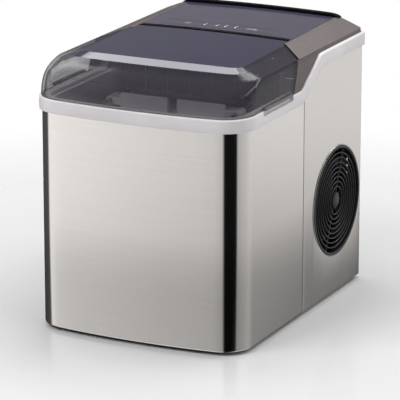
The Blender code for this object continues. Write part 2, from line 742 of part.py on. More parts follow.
def fan():
    """Axial fan: a five-bladed rotor that blows out through the grille, its motor and its shroud."""
    centre = (GRILLE_Y, GRILLE_Z)
    rotor = rod("fan_rotor", (FAN_X - 7 * MM, *centre), (FAN_X + 7 * MM, *centre), ROTOR_R, "black_plastic",
                sides=24)
    for k in range(BLADE_COUNT):
        blade = box(f"blade_{k}", (-8 * MM, ROTOR_R - 2 * MM, -1 * MM), (8 * MM, BLADE_TIP, 1 * MM))
        blade.data.transform(Matrix.Rotation(math.radians(BLADE_PITCH), 4, "Y"))
        blade.data.transform(Matrix.Rotation(2 * math.pi * k / BLADE_COUNT, 4, "X"))
        blade.location = (FAN_X, *centre)
        join(rotor, blade)
    pivot(rotor, (FAN_X, *centre))
    motor_end = FAN_X - 7 * MM - GAP
    rod("fan_motor", (motor_end - 20 * MM, *centre), (motor_end, *centre), 15 * MM, "zinc_steel", sides=24)
    shroud = box("fan_shroud", (FAN_X - 14 * MM, GRILLE_Y - SHROUD_HALF, GRILLE_Z - SHROUD_HALF),
                 (FAN_X + 13 * MM, GRILLE_Y + SHROUD_HALF, GRILLE_Z + SHROUD_HALF), "black_plastic")
    tunnel = rod("shroud_tunnel", (FAN_X - 20 * MM, *centre), (FAN_X + 20 * MM, *centre), 38 * MM, sides=40)
    cut(shroud, tunnel)
    for k in range(2):
        bar = box(f"shroud_bar_{k}", (-1.5 * MM - 0.2 * MM * k, -40 * MM, -4 * MM),
                  (1.5 * MM + 0.2 * MM * k, 40 * MM, 4 * MM))
        bar.location = (FAN_X - 12.4 * MM, *centre)
        bar.rotation_euler = (math.pi * (k + 0.5) / 2, 0, 0)
        join(shroud, bar)
    cut(shroud, rod("motor_seat", (FAN_X - 40 * MM, *centre), (FAN_X - 7 * MM, *centre), 15.3 * MM, sides=24))


# ---------------------------------------------------------------- liner, basket, ice making


def tub(name, half_top, half_low, y_top, y_low, top, low, wall, floor, finish, corner):
    """An open tub with sloped walls: half widths, (front, rear) pairs and heights."""
    outer = [at(plan(half_low, *y_low, corner, corner), low), at(plan(half_top, *y_top, corner, corner), top)]
    shell = loft(name, outer, finish)
    inner_low = (y_low[0] + wall, y_low[1] - wall)
    inner_top = (y_top[0] + wall, y_top[1] - wall)
    inner = [at(plan(half_low - wall, *inner_low, corner - wall, corner - wall), low + floor),
             at(plan(half_top - wall, *inner_top, corner - wall, corner - wall), top + 1 * MM)]
    return cut(shell, loft(f"{name}_hollow", inner))


def inner_liner():
    """The moulded tub behind the steel: sump below, ice room above, and a flange under the band."""
    liner = tub("inner_liner", LINER_X + WALL, 100 * MM, (LINER_Y0 - WALL, LINER_Y1 + WALL),
                (-139 * MM, LINER_Y1 + WALL - 3 * MM), LINER_TOP, LINER_FLOOR - 3 * MM, WALL, 3 * MM,
                "liner_plastic", 22 * MM)
    outline = plan(BODY_W / 2 - 2.5 * MM, -BODY_D / 2 + 2.5 * MM, LINER_Y1 + WALL, 29 * MM, 5 * MM)
    flange = loft("liner_flange", [at(outline, LINER_TOP - 2.5 * MM), at(outline, LINER_TOP)], smooth=False)
    opening = plan(LINER_X - 0.2 * MM, LINER_Y0 + 0.2 * MM, LINER_Y1 - 0.2 * MM, 19.8 * MM, 19.8 * MM)
    hole = loft("flange_hole", [at(opening, LINER_TOP - 8 * MM), at(opening, LINER_TOP + 5 * MM)], smooth=False)
    join(liner, flange)
    cut(liner, hole)


def ice_basket():
    basket = tub("ice_basket", 92 * MM, 86 * MM, (-138 * MM, -46 * MM), (-133 * MM, -51 * MM), BASKET_TOP,
                 LINER_FLOOR + 0.5 * MM, 2 * MM, 2 * MM, "basket_plastic", 12 * MM)
    for k in range(6):
        x = (-62.5 + 25 * k) * MM
        slot = box(f"basket_slot_{k}", (x - 4 * MM, -122 * MM, 50 * MM), (x + 4 * MM, -62 * MM, 62 * MM))
        cut(basket, slot)
    pivot(basket, (0, -92 * MM, LINER_FLOOR))


def ice_slide():
    """The plate that carries falling ice forward over the basket's rear edge."""
    side = [(43 * MM, 206 * MM), (-42 * MM, 200 * MM), (-42 * MM, 202.5 * MM), (43 * MM, 208.5 * MM)]
    prism("ice_slide", side, -86 * MM, 86 * MM, axis="X", finish="liner_plastic")


def ice_rake():
    """A pale plate with a middle notch, on two arms that run on the guide rods."""
    rake = box("ice_rake", (-60 * MM, -67 * MM, 212 * MM), (60 * MM, -64 * MM, 239 * MM), "basket_plastic")
    for sign in (1, -1):
        xs = beside(sign, 56 * MM, 78 * MM)
        arm = box(f"rake_arm_{sign}", (xs[0], -67 * MM, 224 * MM), (xs[1], -50 * MM, 234 * MM))
        join(rake, arm)
        bore = rod(f"rake_bore_{sign}", (sign * GUIDE_X, -80 * MM, RAKE_Z), (sign * GUIDE_X, -30 * MM, RAKE_Z),
                   GUIDE_R + 0.4 * MM, sides=16)
        cut(rake, bore)
    notch = box("rake_notch", (-5.5 * MM, -70 * MM, 217 * MM), (5.5 * MM, -60 * MM, 245 * MM))
    cut(rake, notch)
    pivot(rake, (0, -65.5 * MM, RAKE_Z))


def rake_guides():
    for name, sign in (("left", -1), ("right", 1)):
        rod(f"rake_guide_{name}", (sign * GUIDE_X, -78 * MM, RAKE_Z), (sign * GUIDE_X, -GAP, RAKE_Z), GUIDE_R,
            "nickel", sides=16)


def finger_xs():
    return [(k - (FINGER_COUNT - 1) / 2) * FINGER_PITCH for k in range(FINGER_COUNT)]


def splash_guard():
    """A dark curtain in front of the cold fingers, with upright slits."""
    guard = box("splash_guard", (-90 * MM, 0, 226 * MM), (90 * MM, 2 * MM, 264 * MM), "dark_guard")
    for k, x in enumerate(finger_xs()):
        slit = box(f"guard_slit_{k}", (x - 0.9 * MM, -5 * MM, 220 * MM), (x + 0.9 * MM, 10 * MM, 258 * MM))
        cut(guard, slit)


def evaporator():
    """The cold plate and its six fingers, which hang into the tray."""
    plate = box("evaporator", (-80 * MM, 10 * MM, 256 * MM), (80 * MM, 38 * MM, 264 * MM), "nickel")
    for k, x in enumerate(finger_xs()):
        finger = rod(f"finger_{k}", (x, TRAY_Y, 221 * MM), (x, TRAY_Y, 258 * MM), FINGER_R - 1 * MM, sides=20,
                     end_radius=FINGER_R)
        join(plate, finger)


def water_tray():
    """A half-round trough that tilts about its own axis and so never meets the fingers."""
    arc = [(TRAY_R * math.cos(a), TRAY_R * math.sin(a)) for a in [-math.pi * k / 16 for k in range(17)]]
    outline = [(TRAY_Y + y, TRAY_Z + z) for y, z in arc]
    tray = prism("water_tray", outline, -TRAY_X, TRAY_X, axis="X", finish="liner_plastic")
    inner_r = TRAY_R - TRAY_WALL
    inner = [(TRAY_Y + y * inner_r / TRAY_R, TRAY_Z + z * inner_r / TRAY_R) for y, z in arc]
    inner = [(TRAY_Y + inner_r, TRAY_Z + 5 * MM)] + inner + [(TRAY_Y - inner_r, TRAY_Z + 5 * MM)]
    cut(tray, prism("tray_hollow", inner, -TRAY_X + TRAY_WALL, TRAY_X - TRAY_WALL, axis="X"))
    for sign in (1, -1):
        xs = beside(sign, TRAY_X - TRAY_WALL + 0.1 * MM, TRAY_X)
        join(tray, rod(f"tray_boss_{sign}", (xs[0], TRAY_Y, TRAY_Z), (xs[1], TRAY_Y, TRAY_Z), 6 * MM, sides=24))
    tray.data.shade_smooth()
    tray.data.set_sharp_from_angle(angle=math.radians(35))
    pivot(tray, (0, TRAY_Y, TRAY_Z))


def tray_drive():
    """The gear motor on the left turns the tray by a short shaft; a bearing carries it on the right."""
    motor_x = -83.7 * MM
    shaft = rod("tray_shaft", (motor_x + GAP, TRAY_Y, TRAY_Z), (-TRAY_X - GAP, TRAY_Y, TRAY_Z), 3 * MM,
                "nickel", sides=16)
    pivot(shaft, (0, TRAY_Y, TRAY_Z))
    box("tray_motor", (-101 * MM, TRAY_Y - 11 * MM, TRAY_Z - 14 * MM),
        (motor_x, TRAY_Y + 11 * MM, TRAY_Z + 12 * MM), "black_plastic", bevel=1.5 * MM)
    box("tray_bearing", (TRAY_X + GAP, TRAY_Y - 6 * MM, TRAY_Z - 9 * MM),
        (84 * MM, TRAY_Y + 6 * MM, TRAY_Z + 19 * MM), "liner_plastic", bevel=0.8 * MM)


# ---------------------------------------------------------------- machine room


def compressor():
    x, y = COMPRESSOR
    plate = box("compressor_plate", (x - 46 * MM, y - 42 * MM, 18 * MM), (x + 46 * MM, y + 42 * MM, 20 * MM),
                "zinc_steel")
    for k, (dx, dy) in enumerate(((-38, -34), (38, -34), (-38, 34), (38, 34))):
        place = (x + dx * MM, y + dy * MM)
        rod(f"compressor_mount_{k + 1}", (*place, 9 * MM + GAP), (*place, 18 * MM - GAP), 7 * MM, "rubber",
            sides=16, end_radius=5.5 * MM)
    profile = [(radius * MM, z * MM) for radius, z in COMPRESSOR_PROFILE]
    turned("compressor", (x, y, 0), profile, "black_enamel")


def condenser():
    """Finned coil between the compressor and the fan."""
    block = box("condenser", (32 * MM, 60 * MM, 52 * MM), (56 * MM, 144 * MM, 158 * MM), "aluminium_fins")
    for k in range(13):
        y = (65 + 6 * k) * MM
        cut(block, box(f"fin_gap_{k}", (37 * MM, y, 56 * MM), (60 * MM, y + 3.6 * MM, 154 * MM)))


def plumbing():
    x, y = COMPRESSOR
    coil_z = 260 * MM
    suction = [(62 * MM, 38 * MM + GAP, coil_z), (62 * MM, 62 * MM, coil_z), (62 * MM, 62 * MM, 186 * MM),
               (x + 20 * MM, y - 20 * MM, 186 * MM), (x + 20 * MM, y - 20 * MM, 150 * MM)]
    pipe("suction_pipe", bent(suction, 9 * MM), 3 * MM, "copper")
    hot_gas = [(-62 * MM, 38 * MM + GAP, coil_z), (-62 * MM, 66 * MM, coil_z),
               (-62 * MM, 66 * MM, 200 * MM), (x, y, 200 * MM), (x, y, 150.6 * MM)]
    pipe("hot_gas_pipe", bent(hot_gas, 9 * MM), 2.5 * MM, "copper")
    discharge = [(x + 46.6 * MM, y + 10 * MM, 80 * MM), (20 * MM, y + 10 * MM, 80 * MM),
                 (20 * MM, y + 10 * MM, 130 * MM), (32 * MM - GAP, y + 10 * MM, 130 * MM)]
    pipe("condenser_pipe", bent(discharge, 7 * MM), 2.5 * MM, "copper")
    hose = [(*PUMP_OUTLET, 43 * MM), (*PUMP_OUTLET, 250 * MM), (PUMP_OUTLET[0], 41 * MM, 250 * MM)]
    pipe("water_hose", bent(hose, 10 * MM), 4 * MM, "silicone")


def water_pump():
    x, y = PUMP_OUTLET
    pump = box("water_pump", (x - 13 * MM, y - 12 * MM, 9 * MM + GAP), (x + 16 * MM, y + 16 * MM, 36 * MM),
               "black_plastic", bevel=2 * MM)
    join(pump, rod("pump_outlet", (x, y, 30 * MM), (x, y, 43 * MM - GAP), 5 * MM, sides=16))


def filter_drier():
    rod("filter_drier", (22 * MM, 72 * MM, 170 * MM), (22 * MM, 130 * MM, 170 * MM), 8 * MM, "copper", sides=20)


def power_inlet():
    """Mains socket in the rear panel."""
    half_d = BODY_D / 2
    body = box("power_inlet", (50.4 * MM, half_d - 22 * MM, 30.4 * MM), (79.6 * MM, half_d, 51.6 * MM),
               "black_plastic", bevel=0.6 * MM)
    flange = box("inlet_flange", (46 * MM, half_d - 0.2 * MM, 27 * MM), (84 * MM, half_d + 1.8 * MM, 55 * MM))
    socket = box("inlet_socket", (54 * MM, half_d - 14 * MM, 34 * MM), (76 * MM, half_d + 5 * MM, 48 * MM))
    join(body, flange)
    cut(body, socket)


def drain_plug():
    """Rubber plug that pulls out of the drain at the rear."""
    face = BODY_D / 2
    x, z = DRAIN
    plug = rod("drain_plug", (x, face - 10 * MM, z), (x, face + 1 * MM, z), DRAIN_R - 1 * MM, "rubber",
               sides=24)
    join(plug, rod("plug_head", (x, face + GAP, z), (x, face + 4 * MM, z), DRAIN_R + 3 * MM, sides=24))
    pivot(plug, (x, face, z))


clear_scene()
PARTS = new_collection("ice_maker")
CUTTERS = new_collection("cutters", shown=False)

base_pan()
feet()
front_wrap()
side_panels()
rear_panel()
rear_screws()
trim_band()
lid()
lid_hinge_pins()
top_cover()
cover_deck()
control_panel()
buttons_and_lamps()
rear_lip()
control_board()
fan_grille()
fan()
inner_liner()
ice_basket()
ice_slide()
ice_rake()
rake_guides()
splash_guard()
evaporator()
water_tray()
tray_drive()
compressor()
condenser()
plumbing()
water_pump()
filter_drier()
power_inlet()
drain_plug()
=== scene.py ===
"""Finished look of a countertop ice maker, built round its packed mechanical model.

Steel sheets, the pale band, the clear lid, the dark rear cover with its panel, the round grille and what
shows through them are made as detailed pieces. Each rides on the body of the solid that it stands for.
Lengths are in metres; X is the object's right, Y its rear and Z up.
"""

import json
import math

import bmesh
import bpy
import numpy as np
from mathutils import Matrix, Vector


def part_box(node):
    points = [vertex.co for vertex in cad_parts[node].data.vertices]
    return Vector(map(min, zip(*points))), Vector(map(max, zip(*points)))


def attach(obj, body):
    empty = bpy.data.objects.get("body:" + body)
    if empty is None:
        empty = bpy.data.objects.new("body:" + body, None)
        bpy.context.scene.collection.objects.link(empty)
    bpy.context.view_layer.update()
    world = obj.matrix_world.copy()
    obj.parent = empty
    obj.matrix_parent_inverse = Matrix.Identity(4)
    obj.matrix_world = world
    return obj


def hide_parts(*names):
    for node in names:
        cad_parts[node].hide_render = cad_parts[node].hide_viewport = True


bl_info = {
    "name": "Countertop ice maker",
    "version": (1, 0, 0),
    "blender": (4, 5, 0),
    "location": "View3D > Sidebar > Ice maker",
    "description": "Detailed pieces, finishes and a studio for a countertop ice maker",
    "category": "Add Mesh",
}

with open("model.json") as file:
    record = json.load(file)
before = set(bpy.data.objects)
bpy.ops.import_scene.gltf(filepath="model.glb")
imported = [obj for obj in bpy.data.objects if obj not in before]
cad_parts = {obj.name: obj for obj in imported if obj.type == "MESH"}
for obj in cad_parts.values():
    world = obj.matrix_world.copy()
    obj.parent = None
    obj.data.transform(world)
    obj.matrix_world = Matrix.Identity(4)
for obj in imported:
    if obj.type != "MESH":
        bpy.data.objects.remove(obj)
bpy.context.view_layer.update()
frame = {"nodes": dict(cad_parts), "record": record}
MM = 0.001

# Driving places, read from the frame.
SHEET_LOW, SHEET_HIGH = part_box("front_wrap")
SIDE_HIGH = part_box("side_panel_right")[1]
BAND_LOW, BAND_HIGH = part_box("trim_band")
LID_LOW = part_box("lid")[0]
PANEL_LOW, PANEL_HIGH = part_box("control_panel")
GRILLE_LOW, GRILLE_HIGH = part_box("fan_grille")
BODY_HALF_W = SHEET_HIGH.x
BODY_FRONT = SHEET_LOW.y
BODY_REAR = SIDE_HIGH.y
BODY_LOW = SHEET_LOW.z
SEAM_Y = SHEET_HIGH.y
BAND_OUT = BAND_HIGH.x - BODY_HALF_W
BAND_UNDER = BAND_LOW.z
# How far the steel reaches below its solids.
SKIRT = 2.4 * MM
LID_FOOT = LID_LOW.z
LID_GAP = 0.3 * MM
BAND_TALL = LID_FOOT - LID_GAP - BAND_UNDER
RAMP_RISE = BAND_HIGH.z - BAND_UNDER - BAND_TALL
PANEL_HALF_W = PANEL_HIGH.x
GRILLE_Y = (GRILLE_LOW.y + GRILLE_HIGH.y) / 2
GRILLE_Z = (GRILLE_LOW.z + GRILLE_HIGH.z) / 2
GRILLE_R = (GRILLE_HIGH.y - GRILLE_LOW.y) / 2
BAR_FRONT, BAR_REAR = BODY_REAR - 11 * MM, BODY_REAR - 4 * MM
# How far a cutter stands out on each side of what it cuts through.
THROUGH = 5 * MM


# ---------------------------------------------------------------- settings


def length(name, description, default, **extra):
    return bpy.props.FloatProperty(
        name=name, description=description, default=default, unit="LENGTH", precision=4, **extra
    )


def tint(name, description, default):
    return bpy.props.FloatVectorProperty(
        name=name, description=description, default=default, size=3, subtype="COLOR", min=0.0, max=1.0
    )


class IceMakerBody(bpy.types.PropertyGroup):
    """Outline of the body and the band round it."""

    corner: length("Front corner", "Radius of the two front corners", 32 * MM)
    rear_corner: length("Rear corner", "Radius of the two rear corners", 6 * MM)
    bow: length("Front bow", "Radius of the front's slight outward bow", 738 * MM)
    sheet: length("Sheet", "Thickness of the steel sheets", 0.7 * MM)
    tuck: length("Tuck", "How far the steel runs up behind the band", 6 * MM)
    ramp_front: length("Ramp foot", "Y where the band starts to climb", -5 * MM)
    ramp_rear: length("Ramp head", "Y where the band stops climbing", 44 * MM)
    ramp_blend: length("Ramp bend", "Half the length of the bend at each end of the ramp", 5 * MM)
    flange: length("Flange", "How far the band reaches in over the body", 9 * MM)
    grip_front: length("Recess front", "Front end of each finger recess", -103 * MM)
    grip_rear: length("Recess rear", "Rear end of each finger recess", -31 * MM)


class IceMakerTop(bpy.types.PropertyGroup):
    """The lid, the rear cover and the control panel."""

    crease_half: length("Crease", "Half width between the top's two side creases", 91 * MM)
    crease: length("Crease height", "Height of the side creases", 286.5 * MM)
    crown: length("Crown", "Rise of the top's middle above its creases", 1.5 * MM)
    tilt: length("Tilt", "How much higher the top's rear is than its front", 3.5 * MM)
    wall: length("Wall", "Thickness of the mouldings", 2.4 * MM)
    lid_rear: length("Lid rear", "Y of the lid's rear edge", 28 * MM)
    arm: length("Arm", "Y where the seam meets each top crease", 14 * MM)
    seam_fold: length("Seam fold", "Y of the seam at the lower crease", -13 * MM)
    seam_gap: length("Seam gap", "Gap between the lid and the cover", 3.6 * MM)
    hinge_y: length("Hinge Y", "Y of the lid's hinge", 23.5 * MM)
    hinge_z: length("Hinge height", "Height of the lid's hinge", 281 * MM)


class IceMakerGrille(bpy.types.PropertyGroup):
    """The round grille in the right side."""

    rings: bpy.props.IntProperty(name="Rings", description="Rings between hub and rim", default=8, min=3)
    spokes: bpy.props.IntProperty(name="Spokes", description="Spokes behind the rings", default=8, min=3)
    ring_width: length("Ring width", "Width of each ring across its face", 1.5 * MM)
    rim_width: length("Rim width", "Width of the outer rim", 3.4 * MM)


class IceMakerColours(bpy.types.PropertyGroup):
    """Base colours of the finishes."""

    steel: tint("Steel", "Brushed steel sheets", (0.86, 0.835, 0.815))
    band: tint("Band", "Pale band", (0.72, 0.69, 0.71))
    smoke: tint("Smoke", "Clear smoky plastic of the lid", (0.062, 0.056, 0.070))
    window: tint("Window", "Darker window in the lid's top", (0.034, 0.031, 0.062))
    cover: tint("Cover", "Dark rear cover", (0.090, 0.072, 0.070))
    panel: tint("Panel", "Glossy control panel", (0.054, 0.045, 0.078))
    black: tint("Black", "Black mouldings", (0.012, 0.012, 0.014))
    liner: tint("Liner", "Liner, slide and tray", (0.84, 0.82, 0.87))
    basket: tint("Basket", "Basket and rake", (0.90, 0.88, 0.93))


class IceMakerStudio(bpy.types.PropertyGroup):
    """Camera."""

    azimuth: bpy.props.FloatProperty(
        name="Azimuth", description="Camera's turn from the front to the right", default=math.radians(26.09),
        subtype="ANGLE",
    )
    elevation: bpy.props.FloatProperty(
        name="Elevation", description="Camera's height angle", default=math.radians(16.21), subtype="ANGLE"
    )
    distance: length("Distance", "Camera to its aim", 3.1678)
    lens: bpy.props.FloatProperty(name="Lens", description="Focal length in millimetres", default=269.1)
    aim: bpy.props.FloatVectorProperty(
        name="Aim", description="Point the camera looks at", default=(-0.0006, 0.0, 0.1129), size=3,
        subtype="TRANSLATION", unit="LENGTH",
    )


# ---------------------------------------------------------------- finishes


class Finish:
    """A material built round one Principled shader."""

    def __init__(self, name, colour, roughness, metallic=0.0, **sockets):
        self.material = bpy.data.materials.new(name)
        self.material.use_nodes = True
        self.tree = self.material.node_tree
        self.shader = self.tree.nodes["Principled BSDF"]
        self.colour = (*colour, 1.0)
        self.set("Base Color", self.colour)
        self.set("Roughness", roughness)
        self.set("Metallic", metallic)
        for socket, value in sockets.items():
            self.set(socket.replace("_", " "), value)
        self.place = self.tree.nodes.new("ShaderNodeTexCoord").outputs["Object"]

    def set(self, socket, value):
        self.shader.inputs[socket].default_value = value

    def noise(self, size, detail=3.0, stretch=(1.0, 1.0, 1.0)):
        """Noise whose features are about this size, drawn out along each axis by stretch."""
        mapping = self.tree.nodes.new("ShaderNodeMapping")
        mapping.inputs["Scale"].default_value = [1.0 / (size * s) for s in stretch]
        self.tree.links.new(self.place, mapping.inputs["Vector"])
        texture = self.tree.nodes.new("ShaderNodeTexNoise")
        texture.inputs["Scale"].default_value = 1.0
        texture.inputs["Detail"].default_value = detail
        self.tree.links.new(mapping.outputs["Vector"], texture.inputs["Vector"])
        return texture.outputs["Fac"]

    def spread(self, value, low, high):
        """The middle of a noise's range stretched to run from low to high."""
        node = self.tree.nodes.new("ShaderNodeMapRange")
        for socket, number in (("From Min", 0.3), ("From Max", 0.7), ("To Min", low), ("To Max", high)):
            node.inputs[socket].default_value = number
        self.tree.links.new(value, node.inputs["Value"])
        return node.outputs["Result"]

    def vary_colour(self, value, other):
        """Base colour runs from its own value to other."""
        node = self.tree.nodes.new("ShaderNodeMix")
        node.data_type = "RGBA"
        node.inputs["A"].default_value = self.colour
        node.inputs["B"].default_value = (*other, 1.0)
        self.tree.links.new(value, node.inputs["Factor"])
        self.tree.links.new(node.outputs["Result"], self.shader.inputs["Base Color"])

    def vary(self, socket, value):
        self.tree.links.new(value, self.shader.inputs[socket])

    def bump(self, value, depth, strength=1.0):
        node = self.tree.nodes.new("ShaderNodeBump")
        node.inputs["Distance"].default_value = depth
        node.inputs["Strength"].default_value = strength
        self.tree.links.new(value, node.inputs["Height"])
        self.tree.links.new(node.outputs["Normal"], self.shader.inputs["Normal"])


def shade(colour, share):
    """A colour made darker or lighter."""
    return tuple(min(1.0, c * share) for c in colour)


def moulded(name, colour, roughness, grain=0.5 * MM, depth=0.01 * MM, **sockets):
    """Moulded plastic: faint clouding, uneven gloss and a fine skin."""
    made = Finish(name, colour, roughness, **sockets)
    made.vary_colour(made.spread(made.noise(60 * MM, 4.0), 0.0, 1.0), shade(colour, 0.88))
    made.vary("Roughness", made.spread(made.noise(9 * MM, 5.0), roughness * 0.85, roughness * 1.2))
    made.bump(made.noise(grain, 2.0), depth)
    return made.material


def metal(name, colour, roughness, stretch=(1.0, 1.0, 1.0), grain=0.4 * MM, depth=0.004 * MM, **sockets):
    """Bare metal with its grain drawn out along stretch."""
    made = Finish(name, colour, roughness, 1.0, **sockets)
    lines = made.noise(grain, 4.0, stretch)
    made.vary_colour(made.spread(made.noise(25 * MM, 4.0), 0.0, 1.0), shade(colour, 0.84))
    made.vary("Roughness", made.spread(lines, roughness * 0.8, roughness * 1.25))
    made.bump(lines, depth)
    return made.material


def brushed_steel(name, colour):
    """Sheet steel brushed along its length, so that highlights stretch upright."""
    made = Finish(name, colour, 0.15, 1.0, Anisotropic=0.75, Anisotropic_Rotation=0.25)
    fine = made.noise(0.30 * MM, 3.0, (90.0, 90.0, 1.0))
    coarse = made.noise(1.6 * MM, 3.0, (80.0, 80.0, 1.0))
    made.vary_colour(made.spread(coarse, 0.0, 1.0), shade(colour, 0.975))
    made.vary("Roughness", made.spread(fine, 0.13, 0.17))
    made.bump(fine, 0.0003 * MM, 0.5)
    tangent = made.tree.nodes.new("ShaderNodeTangent")
    tangent.direction_type = "RADIAL"
    tangent.axis = "Z"
    made.tree.links.new(tangent.outputs["Tangent"], made.shader.inputs["Tangent"])
    return made.material


def clear_plastic(name, colour, alpha, roughness=0.04):
    """Smoky clear moulding: see-through, with a polished skin and faint handling marks."""
    made = Finish(name, colour, roughness, Alpha=alpha, IOR=1.49)
    made.vary_colour(made.spread(made.noise(45 * MM, 3.0), 0.0, 1.0), shade(colour, 0.85))
    made.vary("Roughness", made.spread(made.noise(6 * MM, 6.0), roughness * 0.7, roughness * 1.6))
    made.bump(made.noise(14 * MM, 2.0), 0.02 * MM, 0.15)
    edge = made.tree.nodes.new("ShaderNodeLayerWeight").outputs["Facing"]
    depth = made.tree.nodes.new("ShaderNodeMapRange")
    for socket, number in (("From Min", 0.55), ("From Max", 0.98), ("To Min", alpha), ("To Max", 0.97)):
        depth.inputs[socket].default_value = number
    made.tree.links.new(edge, depth.inputs["Value"])
    made.vary("Alpha", depth.outputs["Result"])
    return made.material


def make_finishes(colours):
    """Every finish, by the record's slot name or its own."""
    metal_line = (1.0, 30.0, 1.0)
    return {
        "brushed_steel": brushed_steel("brushed_steel", colours.steel),
        # Painted shade: the side sheets get a darker copy of the front's brushed steel.
        "shaded_side_steel": brushed_steel("shaded_side_steel", shade(colours.steel, 0.94)),
        "band_plastic": moulded("band_plastic", colours.band, 0.34, depth=0.006 * MM),
        "smoked_clear": clear_plastic("smoked_clear", colours.smoke, 0.36),
        "smoked_facet": clear_plastic("smoked_facet", colours.window, 0.93, 0.02),
        "smoked_window": clear_plastic("smoked_window", colours.window, 0.86),
        "cover_plastic": moulded("cover_plastic", colours.cover, 0.36, 0.8 * MM, 0.0015 * MM),
        "panel_gloss": moulded("panel_gloss", colours.panel, 0.16, depth=0.001 * MM, Coat_Weight=0.4),
        "black_plastic": moulded("black_plastic", colours.black, 0.38, 0.3 * MM, 0.012 * MM),
        "liner_plastic": moulded("liner_plastic", colours.liner, 0.42, 0.7 * MM, 0.012 * MM),
        "basket_plastic": moulded("basket_plastic", colours.basket, 0.32, 0.6 * MM, 0.006 * MM),
        "dark_guard": moulded("dark_guard", (0.030, 0.030, 0.055), 0.28, depth=0.006 * MM),
        "zinc_steel": metal("zinc_steel", (0.46, 0.47, 0.49), 0.42, grain=1.6 * MM),
        "nickel": metal("nickel", (0.66, 0.64, 0.60), 0.22, metal_line),
        "copper": metal("copper", (0.70, 0.36, 0.21), 0.28, grain=0.8 * MM),
        "aluminium_fins": metal("aluminium_fins", (0.66, 0.67, 0.69), 0.38, metal_line),
        "black_enamel": moulded("black_enamel", (0.018, 0.018, 0.02), 0.30, 1.2 * MM, 0.02 * MM),
        "rubber": moulded("rubber", (0.022, 0.022, 0.023), 0.82, 0.3 * MM, 0.03 * MM),
        "board_green": moulded("board_green", (0.03, 0.14, 0.07), 0.45, 0.8 * MM, 0.01 * MM),
        "lens_white": moulded("lens_white", (0.62, 0.60, 0.72), 0.20, depth=0.002 * MM),
        "silicone": moulded("silicone", (0.68, 0.69, 0.70), 0.50, 0.4 * MM, 0.01 * MM),
        "tab_clear": clear_plastic("tab_clear", (0.16, 0.15, 0.155), 0.85, 0.12),
        # Painted highlight: pale grey standing in for the thin highlights on the cold fingers seen through
        # the curtain's slits.
        "painted_slit_highlight": moulded("painted_slit_highlight", (0.42, 0.42, 0.47), 0.35, depth=0.004 * MM),
        "row_dark": moulded("row_dark", (0.045, 0.04, 0.06), 0.2, depth=0.001 * MM),
        "print_grey": moulded("print_grey", (0.34, 0.30, 0.42), 0.40, depth=0.002 * MM),
        "deep_black": moulded("deep_black", (0.003, 0.003, 0.004), 0.75, depth=0.002 * MM,
                              Specular_IOR_Level=0.15),
    }


FINISHES = {}


# ---------------------------------------------------------------- shapes


